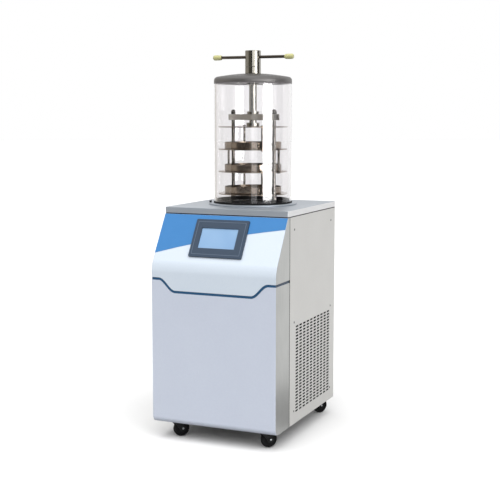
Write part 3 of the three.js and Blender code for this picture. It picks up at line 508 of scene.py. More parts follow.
def cutAway(piece, cutter):
    # subtracts a bmesh in millimetres from a finished piece and keeps the result as its mesh
    bmesh.ops.scale(cutter, vec=toMetres, verts=cutter.verts)
    bmesh.ops.recalc_face_normals(cutter, faces=cutter.faces)
    mesh = meshOf("cutter", cutter)
    tool = placed("cutter", mesh)
    addModifier(piece, "BOOLEAN", operation="DIFFERENCE", object=tool, solver="EXACT")
    bpy.context.view_layer.update()
    evaluated = piece.evaluated_get(bpy.context.evaluated_depsgraph_get())
    cut = bpy.data.meshes.new_from_object(evaluated)
    old = piece.data
    piece.modifiers.clear()
    piece.data = cut
    cut.name = piece.name
    cut.set_sharp_from_angle(angle=math.radians(piece["sharp"]))
    bpy.data.meshes.remove(old)
    bpy.data.objects.remove(tool)
    bpy.data.meshes.remove(mesh)


# Camera, lamps and floor

cameraLook = dict(
    place=(1.477, -3.3534, 1.0591), yaw=23.739, pitch=7.112, lens=78.36, sensor=36, reach=60)


def makeCamera():
    data = bpy.data.cameras.new("camera")
    data.lens = cameraLook["lens"]
    data.sensor_width = cameraLook["sensor"]
    data.clip_end = cameraLook["reach"]
    camera = placed("camera", data)
    turn = Matrix.Rotation(math.radians(cameraLook["yaw"]), 4, "Z")
    tilt = Matrix.Rotation(math.radians(90 - cameraLook["pitch"]), 4, "X")
    camera.matrix_world = Matrix.Translation(cameraLook["place"]) @ turn @ tilt
    scene.camera = camera


studio = dict(
    worldAmbient=0.5, floorRadius=40, floorSeen="#fafafa", floorMirrored="#dfdfdf",
    floorBounce="#a0a0a0",
    # where each lamp stands as seen from the object, its softness in degrees and its light on a
    # surface that faces it, where 1 shows a colour as it is written
    lamps=(
        dict(name="keyLamp", towards=(0.04, -0.46, 0.88), spread=80, level=0.75),
        dict(name="sideLamp", towards=(0.8, -0.3, 0.5), spread=70, level=0.3),
    ),
    # upright cards that only metal and acrylic mirror: bright strips and dark flags
    cards=(
        dict(name="brightStrip", azimuth=-22.6, width=28, low=0.42, high=1.42, glow=16),
        dict(name="paleStrip", azimuth=-62.5, width=17, low=0.2, high=1.08, glow=1.3),
        dict(name="highStrip", azimuth=-40, width=72, low=1.42, high=2.4, glow=2.6),
        dict(name="middleStrip", azimuth=-56, width=40, low=1.08, high=1.42, glow=1.4),
        dict(name="darkSlit", azimuth=-46, width=15, low=-0.8, high=1.08, glow=0.06),
        dict(name="greyFlagLow", azimuth=-102.5, width=63, low=-0.8, high=0.42, glow=0.14),
        dict(name="darkFlagLow", azimuth=-102.5, width=63, low=0.42, high=1.08, glow=0.05),
        dict(name="blackFlagHigh", azimuth=-86.5, width=19, low=1.08, high=3.4, glow=0.04),
        dict(
            name="dimFlagHigh", azimuth=-115, width=38, low=1.08, high=3.4, glow=0.2,
            tint="#f2ecd8"),
        dict(
            name="paleFlagBehind", azimuth=-177, width=86, low=-0.5, high=3.4, glow=0.7,
            tint="#f3eee6"),
        dict(
            name="darkFlagRight", azimuth=20, width=26, low=-0.5, high=3.4, glow=0.06,
            tint="#e8dce6"),
    ),
    cardDistance=4.6, ceiling=dict(height=4.2, size=9.0, glow=1.1),
    # a dim card on the floor beside the cabinet, which its stainless side mirrors
    floorCard=dict(azimuth=66, near=0.1, far=0.62, width=1.4, lift=0.002, glow=0.42),
)


def forTheEye(tree):
    # 1 where the camera looks, straight, in a mirror or through glass, and 0 for all other light
    ray = addNode(tree, "LightPath").outputs
    seen = reckoned(tree, "MAXIMUM", ray["Is Camera Ray"], ray["Is Glossy Ray"])
    return reckoned(tree, "MAXIMUM", seen, ray["Is Transmission Ray"])


def stagePiece(name, bm, material):
    piece = placed(name, meshOf(name, bm))
    piece.data.materials.append(material)
    return piece


def makeFloor():
    # a ramp of three tones: for the light it throws back, for mirrors and glass, for the camera
    paper, tree = emptyMaterial("paleStudioPaper")
    straight = addNode(tree, "LightPath").outputs["Is Camera Ray"]
    half = 0.5
    pick = reckoned(
        tree, "MULTIPLY_ADD", forTheEye(tree), half, reckoned(tree, "MULTIPLY", straight, half),
        clamped=True)
    tint = addNode(tree, "ValToRGB", links={"Fac": pick})
    tint.color_ramp.elements.new(half)
    for element, tone in zip(tint.color_ramp.elements, ("Bounce", "Mirrored", "Seen")):
        element.color = toLinear(studio["floor" + tone])
    shader = addNode(
        tree, "BsdfPrincipled", {"Roughness": 1.0, "Specular IOR Level": 0.0},
        {"Base Color": tint.outputs["Color"]})
    output(tree, shader)
    bm = bmesh.new()
    bmesh.ops.create_circle(bm, cap_ends=True, segments=64, radius=studio["floorRadius"])
    stagePiece("floor", bm, paper)


def makeCard(name, bm, glow, tint="#ffffff"):
    paper, tree = emptyMaterial(name + "Paper")
    # only what mirrors light sees a card: the eye looks through the tube and past it
    bounces = addNode(tree, "LightPath").outputs["Glossy Depth"]
    nothing = addNode(tree, "BsdfTransparent")
    light = addNode(tree, "Emission", {"Color": toLinear(tint), "Strength": glow})
    shader = addNode(tree, "MixShader", links={
        "Fac": reckoned(tree, "GREATER_THAN", bounces, 0.5), 1: nothing.outputs["BSDF"],
        2: light.outputs["Emission"]})
    output(tree, shader)
    board = stagePiece(name, bm, paper)
    for ray in ("camera", "diffuse", "shadow", "volume_scatter"):
        setattr(board, "visible_" + ray, False)


def makeStudio():
    world = bpy.data.worlds.new("studio")
    scene.world = world
    world.use_nodes = True
    tree = world.node_tree
    tree.nodes.clear()
    strength = addNode(
        tree, "MapRange", {"To Min": studio["worldAmbient"], "To Max": 1.0},
        {"Value": forTheEye(tree)})
    sky = addNode(
        tree, "Background", {"Color": (1, 1, 1, 1)},
        {"Strength": strength.outputs["Result"]})
    output(tree, sky, "World")
    makeFloor()
    for lamp in studio["lamps"]:
        data = bpy.data.lights.new(lamp["name"], "SUN")
        data.angle = math.radians(lamp["spread"])
        data.energy = math.pi * lamp["level"]
        light = placed(lamp["name"], data)
        away = -Vector(lamp["towards"])
        light.matrix_world = away.to_track_quat("-Z", "Y").to_matrix().to_4x4()
        light.visible_glossy = False
    distance = studio["cardDistance"]
    for card in studio["cards"]:
        width = 2 * distance * math.tan(math.radians(card["width"] / 2))
        bm = flatSheet(width, card["high"] - card["low"])
        azimuth = math.radians(card["azimuth"])
        spot = Matrix.Translation((
            distance * math.cos(azimuth), distance * math.sin(azimuth),
            (card["low"] + card["high"]) / 2))
        turn = Matrix.Rotation(azimuth - math.radians(90), 4, "Z")
        upright = Matrix.Rotation(math.radians(90), 4, "X")
        bmesh.ops.transform(bm, matrix=spot @ turn @ upright, verts=bm.verts)
        makeCard(card["name"], bm, card["glow"], card.get("tint", "#ffffff"))
    card = studio["ceiling"]
    overhead = shifted(flatSheet(card["size"], card["size"]), z=card["height"])
    makeCard("ceilingCard", overhead, card["glow"])
    card = studio["floorCard"]
    bm = flatSheet(card["far"] - card["near"], card["width"])
    shifted(bm, (card["far"] + card["near"]) / 2, 0, card["lift"])
    makeCard("floorCard", swung(bm, card["azimuth"]), card["glow"])
    scene.view_settings.view_transform = "Standard"


makeCamera()
makeStudio()
print("camera and studio ready")


# Cabinet front: one bent sheet, parted by the wavy seam

frontSizes = dict(
    bevel=19, bevelSteps=5, lip=8, bendDrop=182, bendRadius=75, bendSteps=14, slopeRun=100,
    slopeRise=160, corner=3, wall=1.8, gap=4, edge=0.5, seam=8.4, inlayInset=1.2,
    waveDrop=224.5, waveDip=40, waveOuter=192, waveInner=133, waveSteps=18)
seamZ = topZ - frontSizes["waveDrop"]
seamHalf = frontSizes["seam"] / 2
seamFoamSizes = dict(inset=0.35, width=6, depth=8, ends=1)


def waveAt(x):
    # how far the seam has dropped at a place across the front, and how much longer than its width
    # an upright cut through it is there
    s = frontSizes
    run = s["waveOuter"] - s["waveInner"]
    share = min(max((s["waveOuter"] - abs(x)) / run, 0), 1)
    slope = math.pi * s["waveDip"] / 2 / run * math.sin(math.pi * share)
    return s["waveDip"] * (1 - math.cos(math.pi * share)) / 2, math.hypot(1, slope)


def frontSheet():
    s = frontSizes
    low = span("lower_front_panel")[0]
    high = span("upper_fascia")[1]
    slant = s["slopeRun"] / s["slopeRise"]
    cornerZ = topZ - s["bendDrop"]
    bevel = s["bevel"]
    steps = s["bevelSteps"]
    roll = [math.radians(90 * step / steps) for step in range(steps + 1)]
    outline = [
        (high.y, low.z),
        (frontY + bevel + s["lip"], low.z),
        *((frontY + bevel * (1 - math.sin(turn)), low.z + bevel * (1 - math.cos(turn)))
          for turn in roll),
        (frontY, cornerZ),
        (frontY + (high.z - cornerZ) * slant, high.z),
        (high.y, high.z)]
    bm = bmesh.new()
    side = bm.faces.new([bm.verts.new((-halfWidth, y, z)) for y, z in outline])
    pushed(bm, bmesh.ops.extrude_face_region(bm, geom=[side]), (2 * halfWidth, 0, 0))
    bmesh.ops.recalc_face_normals(bm, faces=bm.faces)
    bend = math.atan(slant)
    onBend = [
        e for e in bm.edges
        if all(abs(v.co.z - cornerZ) < near and abs(v.co.y - frontY) < near for v in e.verts)]
    bmesh.ops.bevel(
        bm, geom=onBend, offset=s["bendRadius"] * math.tan(bend / 2),
        segments=s["bendSteps"], profile=0.5, affect="EDGES", material=-1)

    def atSide(e):
        # a corner along the sheet's side, but not at its back, its foot or its head
        return (
            all(abs(abs(v.co.x) - halfWidth) < near for v in e.verts)
            and max(v.co.y for v in e.verts) < high.y - near
            and min(v.co.z for v in e.verts) < high.z - near
            and max(v.co.z for v in e.verts) > low.z + near)

    soften(bm, s["corner"], segments=3, over=squareTurn, chosen=atSide)
    backEdge = [v for v in bm.verts if v.co.y > high.y - near]
    bmesh.ops.translate(bm, vec=(0, -s["gap"], 0), verts=backEdge)
    high.y -= s["gap"]
    inner = frontY + bevel + s["lip"]

    def hidden(face):
        at = face.calc_center_median()
        return at.y > high.y - near or (at.z < low.z + near and at.y > inner)

    withoutFaces(bm, hidden)
    slicedAt(bm, (0, 0, 1), (seamZ - seamHalf, seamZ + seamHalf))
    run = s["waveOuter"] - s["waveInner"]
    steps = s["waveSteps"]
    for side in (-1, 1):
        slicedAt(bm, (1, 0, 0), [
            side * (s["waveInner"] + run * step / steps) for step in range(steps + 1)])
    return bm


def frontBand(low, high):
    # the part of the sheet between two heights, counted before the seam is bent into its wave
    bm = withoutFaces(frontSheet(), lambda face: not low < face.calc_center_median().z < high)
    for v in bm.verts:
        if abs(abs(v.co.z - seamZ) - seamHalf) < near and v.co.y < frontY + near:
            drop, stretch = waveAt(v.co.x)
            v.co.z = seamZ + (v.co.z - seamZ) * stretch - drop
    return bm


def makeFront():
    above, below = seamZ + seamHalf, seamZ - seamHalf
    bands = (
        ("upperFascia", "upper_fascia", above, math.inf, "coolWhitePowderCoat", "painted_front"),
        ("lowerFront", "lower_front_panel", 0, below, "satinWhitePowderCoat", "painted_front"),
        ("waveInlay", "wave_trim", below, above, "darkBluePvc", "blue_trim"))
    # a near-black strip behind the gap between the front and each side is painted shade, so that
    # the seam reads dark
    f = seamFoamSizes
    low, high = span("right_side_panel")
    for side, label in ((-1, "left"), (1, "right")):
        reach = [side * (halfWidth - f["inset"]), side * (halfWidth - f["width"])]
        strip = block(
            (min(reach), low.y - f["depth"], low.z + f["ends"]),
            (max(reach), low.y - clearance, high.z - f["ends"]))
        finished(label + "SeamShadeStrip", strip, "paintedShadeFoam")
    for name, node, low, high, material, slot in bands:
        bm = frontBand(low, high)
        isInlay = node == "wave_trim"
        if isInlay:
            inset = frontSizes["inlayInset"]
            bmesh.ops.scale(bm, vec=((halfWidth - inset) / halfWidth, 1, 1), verts=bm.verts)
            shifted(bm, y=inset)
        walled(bm, frontSizes["wall"])
        if not isInlay:
            soften(bm, frontSizes["edge"], segments=2, over=squareTurn)
            # the softened edge grows a hair past the sheet's side, so it is held to its width
            for v in bm.verts:
                v.co.x = min(max(v.co.x, -halfWidth), halfWidth)
        piece = finished(name, bm, material, [node], recalculated=False)
        # the side returns are bare steel, and the inlay's ends are dark slate
        piece.data.materials.append(finish["slateAbs" if isInlay else "uprightBrushedStainless"])
        for face in piece.data.polygons:
            if abs(face.normal.x) > squareOn:
                face.material_index = 1


makeFront()
print("front made")


# Control panel: film, bezel and screen, drawn flat and laid on the slope

slopeTilt = math.atan(frontSizes["slopeRun"] / frontSizes["slopeRise"])
slopeFrame = (
    Matrix.Translation((0, span("top_cover")[0].y, span("top_cover")[0].z))
    @ Matrix.Rotation(math.radians(90) - slopeTilt, 4, "X"))
panelSizes = dict(
    width=186, height=134, drop=84.5, corner=3.5, cornerSteps=5, foot=1.1, proud=5, edge=1.2,
    windowWidth=128.4, windowHeight=72.4, windowShift=-3, through=30)
beadSizes = dict(
    outer=8.5, inner=10.4, outerCorner=2, innerCorner=1.2, height=0.4, cutBelow=2, cutAbove=4)
filmSizes = dict(topBand=1, margin=0.1)


def roundedPlate(width, height, corner, x, y, low, high):
    bm = shifted(flatSheet(width, height), x, y, low)
    if corner:
        bmesh.ops.bevel(
            bm, geom=bm.verts[:], offset=corner, segments=panelSizes["cornerSteps"], profile=0.5,
            affect="VERTICES", material=-1)
    grown = bmesh.ops.extrude_face_region(bm, geom=bm.faces[:], use_keep_orig=True)
    pushed(bm, grown, (0, 0, high - low))
    bmesh.ops.recalc_face_normals(bm, faces=bm.faces)
    return bm


def onSlope(bm):
    bmesh.ops.transform(bm, matrix=slopeFrame, verts=bm.verts)
    return bm


def makeBezel():
    # a flat rim with softened edges, a raised bead round it and a sharp window for the screen
    s = panelSizes
    top = s["foot"] + s["proud"]
    rim = roundedPlate(s["width"], s["height"], s["corner"], 0, -s["drop"], s["foot"], top)
    soften(
        rim, s["edge"], segments=3, over=squareTurn,
        chosen=lambda e: all(v.co.z > top - near for v in e.verts))
    piece = finished(
        "screenBezel", onSlope(rim), "slateAbs", ["screen_bezel"])
    window = roundedPlate(
        s["windowWidth"], s["windowHeight"], 0, s["windowShift"], -s["drop"], -s["through"],
        top + s["through"])
    cutAway(piece, onSlope(window))
    b = beadSizes
    bead = roundedPlate(
        s["width"] - 2 * b["outer"], s["height"] - 2 * b["outer"], b["outerCorner"], 0, -s["drop"],
        top - clearance, top + b["height"])
    piece = finished("bezelBead", onSlope(bead), "greyAbs")
    middlePart = roundedPlate(
        s["width"] - 2 * b["inner"], s["height"] - 2 * b["inner"], b["innerCorner"], 0, -s["drop"],
        top - b["cutBelow"], top + b["cutAbove"])
    cutAway(piece, onSlope(middlePart))


makeBezel()
dressed("touch_screen", "backlitGlass")
# the printed film reaches up to the fascia's top edge
film = copyOfNode("control_overlay")
filmTop = span("control_overlay")[1].z
topOfFilm = [v for v in film.verts if v.co.z > filmTop - filmSizes["topBand"]]
rise = span("upper_fascia")[1].z - filmTop - filmSizes["margin"]
bmesh.ops.translate(film, vec=(0, rise * math.tan(slopeTilt), rise), verts=topOfFilm)
finished("controlFilm", film, "blueLabelFilm", ["control_overlay"])
print("control panel made")


# Top cover: folded stainless sheet with the chamber's mouth

coverSizes = dict(corner=4, edge=1.6, wall=1.4, mouth=112.2, through=30)
sealSizes = dict(height=3, tuck=0.5, inset=0.7, wall=6)


def makeTopCover():
    s = coverSizes
    low, high = span("top_cover")
    # a black rubber strip tucked under the cover's edge is painted shade: it draws the dark line
    # below the cover
    inset = sealSizes["inset"]
    seal = block(
        (low.x + inset, low.y + inset, low.z),
        (high.x - inset, high.y - inset, low.z + sealSizes["height"] + sealSizes["tuck"]))
    withoutFaces(seal, lambda face: abs(face.normal.z) > squareOn, "FACES_ONLY")
    soften(seal, s["corner"] - inset, segments=4, over=squareTurn)
    finished("coverShadeSeal", walled(seal, sealSizes["wall"]), "blackRubber")

    low.z += sealSizes["height"]
    sheet = block(low, high)
    soften(
        sheet, s["corner"], segments=4, over=squareTurn,
        chosen=lambda e: abs(e.verts[0].co.z - e.verts[1].co.z) > near)
    withoutFaces(sheet, lambda face: face.calc_center_median().z < low.z + near)
    soften(
        sheet, s["edge"], segments=3, over=squareTurn,
        chosen=lambda e: all(v.co.z > high.z - near for v in e.verts))
    piece = finished(
        "topCover", walled(sheet, s["wall"]), "dullGroundStainless",
        ["top_cover"], recalculated=False)
    mouth = turned(wallProfile(0, s["mouth"], -s["through"], s["through"]), rounds["plate"])
    cutAway(piece, shifted(mouth, 0, chamberY, high.z))
    # only the two outer side faces take the paler finish of painted light, not the top, the front
    # or the back
    sides = len(piece.data.materials)
    piece.data.materials.append(finish["paintedLightSideStainless"])
    for face in piece.data.polygons:
        outside = abs(face.center.x) * 1000 > halfWidth - s["wall"]
        if outside and abs(face.normal.x) > squareOn:
            face.material_index = sides


makeTopCover()


# Side panels: folded sheets with a field of punched slots and six screws each. The real field has
# 36 rows; it is drawn coarser, with 28.

sideSizes = dict(fold=15, corner=2, wall=1.2, recess=0.6)
ventSizes = dict(
    front=172, drop=378, columns=10, rows=28, pitchAlong=33, pitchDown=10.4, slotLength=24.5,
    slotHeight=6)
# a near-black mat hangs behind the slots and reaches a little past them on every side: painted
# shade that makes the slots read dark
filterSizes = dict(gap=3, depth=6, margin=12, marginBelow=10, offBack=4)
# a low pan head with a round socket; its section gives shares of the radius, and heights
screwSizes = dict(
    along=(157, 502), drops=(63, 364, 658), radius=3.6, sink=1.15,
    section=((0, 0.5), (0.4, 0.5), (0.48, 1.15), (0.8, 1.1), (1, 0.7), (1, 0), (0, 0)))


def makeScrew(name, side, y, z):
    s = screwSizes
    section = [(share * s["radius"], height) for share, height in s["section"]]
    head = turned(section, rounds["screw"])
    place = (
        Matrix.Translation((side * (halfWidth - s["sink"]), y, z))
        @ Matrix.Rotation(math.radians(90 * side), 4, "Y"))
    bmesh.ops.transform(head, matrix=place, verts=head.verts)
    finished(name, head, "blackenedSteel")


def makeSidePanel(name, node, side, label):
    s, v, f = sideSizes, ventSizes, filterSizes
    low, high = span(node)
    bm = bmesh.new()
    corners = [(low.y, low.z), (high.y, low.z), (high.y, high.z), (low.y, high.z)]
    web = bm.faces.new([bm.verts.new((side * (halfWidth - s["recess"]), y, z)) for y, z in corners])
    folds = [e for e in web.edges if abs(e.verts[0].co.y - e.verts[1].co.y) < near]
    for edge in folds:
        pushed(bm, bmesh.ops.extrude_edge_only(bm, edges=[edge]), (-side * s["fold"], 0, 0))
    soften(bm, s["corner"], segments=3, over=squareTurn)
    alongStart = frontY + v["front"]
    downStart = topZ - v["drop"]
    slicedAt(bm, (0, 1, 0), [
        alongStart + column * v["pitchAlong"] + offset
        for column in range(v["columns"]) for offset in (0, v["slotLength"])])
    slicedAt(bm, (0, 0, 1), [
        downStart - row * v["pitchDown"] - offset
        for row in range(v["rows"]) for offset in (0, v["slotHeight"])])

    def inSlot(face):
        at = face.calc_center_median()
        along = (at.y - alongStart) / v["pitchAlong"]
        down = (downStart - at.z) / v["pitchDown"]
        return (
            0 <= along < v["columns"] and 0 <= down < v["rows"]
            and (along % 1) * v["pitchAlong"] < v["slotLength"]
            and (down % 1) * v["pitchDown"] < v["slotHeight"] and abs(face.normal.x) > squareOn)

    walled(withoutFaces(bm, inSlot), s["wall"])
    finished(name, bm, "greyPowderCoat", [node], recalculated=False)
    inside = halfWidth - s["recess"] - s["wall"] - f["gap"]
    alongEnd = alongStart + v["columns"] * v["pitchAlong"]
    # the dark mat behind the slots is painted shade
    mat = block(
        (inside - f["depth"], alongStart - f["margin"],
         downStart - v["rows"] * v["pitchDown"] - f["marginBelow"]),
        (inside, min(high.y - f["offBack"], alongEnd + f["margin"]), downStart + f["margin"]))
    if side < 0:
        bmesh.ops.scale(mat, vec=(-1, 1, 1), verts=mat.verts)
        bmesh.ops.reverse_faces(mat, faces=mat.faces)
    finished(name + "Filter", mat, "paintedShadeFoam")
    for column, along in enumerate(screwSizes["along"]):
        for row, drop in enumerate(screwSizes["drops"]):
            makeScrew(f"{label}Screw{column}{row}", side, frontY + along, topZ - drop)


makeSidePanel("rightSide", "right_side_panel", 1, "right")
makeSidePanel("leftSide", "left_side_panel", -1, "left")
print("cabinet sheets made")


# Drying chamber

def atChamber(bm, x=0, y=0):
    return shifted(bm, x, chamberY + y, 0)


def lathed(
        name, profile, steps, material, slot, nodes=(), at=(0, 0), body="cabinet", sharp=35,
        **shape):
    # one turned piece about an upright axis; at says where that axis stands from the chamber's
    bm = atChamber(turned(profile, steps, **shape), *at)
    return finished(name, bm, material, nodes, body, sharp)


def ringPiece(name, node, material, slot, inner, outer, edge):
    low, high = span(node)
    lathed(
        name, wallProfile(inner, outer, low.z, high.z), rounds["plate"], material, slot, [node],
        closed=True, edge=edge)


flangeSizes = dict(inner=112, outer=149, edge=1.4)
tubeSizes = dict(inner=125, outer=131, edge=0.5)
gasketSizes = dict(outer=133, edge=0.8, lipInner=119, lipOuter=124.4, lipHeight=13)
plugSizes = dict(radius=4.2, height=6.5, sink=5.4, edge=1, circle=144, turn=203)
# bends give the radius and the rise of the rounded foot, outside and inside
trapSizes = dict(wall=1.5, floor=84, bends=((97, 5), (96, 6.5)), side=103.5, sideRise=20, rim=118)


def makeChamber():
    ringPiece(
        "mountingFlange", "chamber_flange", "dullGroundStainless", "stainless_steel", **flangeSizes)
    # the lower gasket has an inner lip that stands inside the tube
    g = gasketSizes
    low, high = span("lower_gasket")
    lathed("lowerGasket", [
        (g["lipInner"], low.z), (g["outer"], low.z), (g["outer"], high.z), (g["lipOuter"], high.z),
        (g["lipOuter"], low.z + g["lipHeight"]), (g["lipInner"], low.z + g["lipHeight"])],
        rounds["plate"], "blackRubber", "black_rubber", ["lower_gasket"], closed=True,
        edge=g["edge"])
    ringPiece("acrylicTube", "acrylic_cylinder", "castAcrylic", "clear_acrylic", **tubeSizes)
    # the upper gasket's grey is painted shade under the lid's rim
    ringPiece("upperGasket", "upper_gasket", "shadedGasketSilicone", "clear_silicone", **tubeSizes)

    # a small black plug closes the bleed hole in the flange
    p = plugSizes
    plug = turned(wallProfile(0, p["radius"], 0, p["height"]), rounds["pin"], edge=p["edge"])
    turn = math.radians(p["turn"])
    shifted(
        plug, p["circle"] * math.cos(turn), chamberY + p["circle"] * math.sin(turn),
        high.z - p["sink"])
    finished("bleedPlug", plug, "blackNylon")

    t = trapSizes
    wall, side = t["wall"], t["side"]
    (bendOuter, riseOuter), (bendInner, riseInner) = t["bends"]
    low, high = span("cold_trap")
    # the trap's dark brown-grey is painted shade and painted dark reflection in the well
    lathed("coldTrap", [
        (0, low.z), (t["floor"], low.z), (bendOuter, low.z + riseOuter),
        (side, low.z + t["sideRise"]), (side, high.z - wall), (t["rim"], high.z - wall),
        (t["rim"], high.z), (side - wall, high.z), (side - wall, low.z + t["sideRise"]),
        (bendInner, low.z + riseInner), (t["floor"], low.z + wall), (0, low.z + wall)],
        rounds["vessel"], "paintedDarkWellStainless", "stainless_steel", ["cold_trap"])


makeChamber()


# Lid: a disc with a rounded shoulder, domed up to a flat seat round the gland

lidSizes = dict(
    bore=17.4, rim=131, foot=1, shoulder=13, shoulderSteps=6, crown=10, seat=32, dishSteps=8,
    dish=1.5)


def makeLid():
    s = lidSizes
    low, high = span("lid")
    shoulderZ = high.z - s["crown"]
    profile = [(s["bore"], low.z), (s["rim"] - s["foot"], low.z), (s["rim"], low.z + s["foot"])]
    for step in range(s["shoulderSteps"] + 1):
        turn = math.radians(90 * step / s["shoulderSteps"])
        profile.append((
            s["rim"] - s["shoulder"] * (1 - math.cos(turn)),
            shoulderZ - s["shoulder"] * (1 - math.sin(turn))))
    for step in range(1, s["dishSteps"] + 1):
        share = step / s["dishSteps"]
        radius = s["rim"] - s["shoulder"] + (s["seat"] - s["rim"] + s["shoulder"]) * share
        profile.append((radius, high.z - s["crown"] * (1 - share) ** s["dish"]))
    profile.append((s["bore"], high.z))
    lathed(
        "lidPlate", profile, rounds["plate"], "beadBlastedStainless", "turned_steel", ["lid"],
        sharp=40, closed=True)


makeLid()


# Press: gland, hub with its crossbar, spindle and foot

pressSizes = dict(
    glandRadius=26.5, neck=17, sleeve=19, slide=13.3, sleeveBore=19.3, edge=0.8, hubEdge=1.2)
nutSizes = dict(inner=17.3, outer=21.5, sides=6, edge=0.6)
barSizes = dict(radius=5, edge=0.6)
# radius and distance from the end nearest the hub, then radius and distance from the far end
gripSizes = dict(
    start=((0, 13.3), (5.3, 13.3), (5.3, 0.6), (6.2, 0), (7.6, 1.5), (8.6, 6)),
    end=((9, 7), (8.4, 3), (6.2, 0.7), (0, 0)), sharp=50)
spindleSizes = dict(radius=13, pin=8, edge=0.8)
footSizes = dict(radius=22, bore=8.3, floor=3.7, edge=0.9)


def pressPiece(name, node, profile, steps, **shape):
    lathed(name, profile, steps, "turnedStainless", "turned_steel", [node], **shape)


def makePress():
    s = pressSizes
    low, high = span("gland_housing")
    lidTop = span("lid")[1].z + clearance
    sleeveFoot = span("handle_hub")[0].z - clearance
    pressPiece("glandHousing", "gland_housing", [
        (s["slide"], low.z), (s["neck"], low.z), (s["neck"], lidTop), (s["glandRadius"], lidTop),
        (s["glandRadius"], high.z), (s["sleeveBore"], high.z), (s["sleeveBore"], sleeveFoot),
        (s["slide"], sleeveFoot)], rounds["hub"], closed=True, edge=s["edge"])

    n = nutSizes
    low, high = span("gland_nut")
    pressPiece(
        "glandNut", "gland_nut", wallProfile(n["inner"], n["outer"], low.z, high.z), n["sides"],
        closed=True, edge=n["edge"])

    low, high = span("handle_hub")
    seat = span("gland_housing")[1].z + clearance
    bore = span("spindle")[1].z + clearance
    pressPiece("handleHub", "handle_hub", [
        (0, bore), (s["slide"], bore), (s["slide"], low.z), (s["sleeve"], low.z),
        (s["sleeve"], seat), (s["glandRadius"], seat), (s["glandRadius"], high.z), (0, high.z)],
        rounds["hub"], body="handle", edge=s["hubEdge"])

    low, high = span("handle_bar")
    centre = (low + high) / 2
    profile = wallProfile(0, barSizes["radius"], low.x, high.x)
    bar = laidAlong(turned(profile, rounds["bar"], edge=barSizes["edge"]), "x")
    finished(
        "handleBar", shifted(bar, 0, centre.y, centre.z), "dullStainless",
        ["handle_bar"], "handle")
    for name, node, side in (("leftGrip", "left_grip", -1), ("rightGrip", "right_grip", 1)):
        low, high = span(node)
        length = high.x - low.x
        profile = [*gripSizes["start"], *((r, length - back) for r, back in gripSizes["end"])]
        grip = laidAlong(turned(profile, rounds["bar"]), "x")
        if side < 0:
            swung(grip, 180)
        shifted(grip, low.x if side > 0 else high.x, centre.y, centre.z)
        finished(
            name, grip, "ivoryPhenolic", [node], "handle", gripSizes["sharp"])

    r = spindleSizes
    low, high = span("spindle")
    step = span("thrust_foot")[1].z + clearance
    pressPiece("spindleRod", "spindle", [
        (0, low.z), (r["pin"], low.z), (r["pin"], step), (r["radius"], step),
        (r["radius"], high.z), (0, high.z)], rounds["rod"], body="press", edge=r["edge"])
    f = footSizes
    low, high = span("thrust_foot")
    floor = low.z + f["floor"]
    pressPiece("thrustFoot", "thrust_foot", [
        (0, low.z), (f["radius"], low.z), (f["radius"], high.z), (f["bore"], high.z),
        (f["bore"], floor), (0, floor)], rounds["rod"], body="press", edge=f["edge"])


makePress()
print("chamber and press made")


# Shelves, each with the pair of rods that hang it from the one above, and trays

shelfSizes = dict(
    circle=104, postTurn=-25, evenTurn=-49.5, oddTurn=-12, count=4, pitch=74.5, radius=116,
    thickness=3, edge=0.5, postHole=6.3, rodHole=4.3, drillPast=2)
rodSizes = dict(radius=4, head=5.5, headHeight=3.5, slope=1, edge=0.4)
# foot and inside give each bend's distance in from the wall and its height from the underside
traySizes = dict(
    radius=96, wall=1.2, foot=((3, 0), (0.9, 0.9), (0, 3)), inside=((0, 3), (2.4, 1.6)), floor=5,
    sharp=50)


def pairAt(degrees):
    x = shelfSizes["circle"] * math.cos(math.radians(degrees))
    y = shelfSizes["circle"] * math.sin(math.radians(degrees))
    return [(x, y), (-x, -y)]


def drill(piece, places, radius, low, high, steps=rounds["pin"]):
    past = shelfSizes["drillPast"]
    for place in places:
        hole = turned(wallProfile(0, radius, low - past, high + past), steps)
        cutAway(piece, atChamber(hole, *place))


def shelfTop(number):
    return span("shelf_1")[1].z - (number - 1) * shelfSizes["pitch"]


def makeShelf(number, body):
    s, r = shelfSizes, rodSizes
    top = shelfTop(number)
    bottom = top - s["thickness"]
    piece = lathed(
        f"shelfPlate{number}", wallProfile(0, s["radius"], bottom, top), rounds["plate"],
        "satinStainless", "stainless_steel", [f"shelf_{number}"], body=body, edge=s["edge"])
    drill(piece, pairAt(s["postTurn"]), s["postHole"], bottom, top)
    even = number % 2 == 0
    if number < s["count"]:
        drill(piece, pairAt(s["oddTurn"] if even else s["evenTurn"]), s["rodHole"], bottom, top)
    # the first shelf rides on the press itself
    if number == 1:
        return
    foot = bottom - r["headHeight"]
    reach = top + s["pitch"] + clearance
    profile = [
        (0, foot), (r["head"], foot), (r["head"], bottom), (r["radius"], bottom + r["slope"]),
        (r["radius"], reach), (r["head"], reach), (r["head"], reach + r["headHeight"]),
        (0, reach + r["headHeight"])]
    rods = [
        atChamber(turned(profile, rounds["pin"], edge=r["edge"]), *place)
        for place in pairAt(s["evenTurn"] if even else s["oddTurn"])]
    finished(f"hangingRods{number}", gather(*rods), "drawnStainless", body=body)


def makeTray(number, body):
    t = traySizes
    low, high = span(f"tray_{number}")
    outer = t["radius"]
    inner = outer - t["wall"]
    lathed(f"tray{number}", [
        (0, low.z), *((outer - back, low.z + rise) for back, rise in t["foot"]),
        (outer, high.z), (inner, high.z),
        *((inner - back, low.z + rise) for back, rise in t["inside"]),
        (outer - t["floor"], low.z + t["wall"]), (0, low.z + t["wall"])],
        rounds["plate"], "satinStainless", "stainless_steel", [f"tray_{number}"], body=body,
        sharp=t["sharp"])


# The rack's frame: base ring, two posts, their nuts and the crosshead

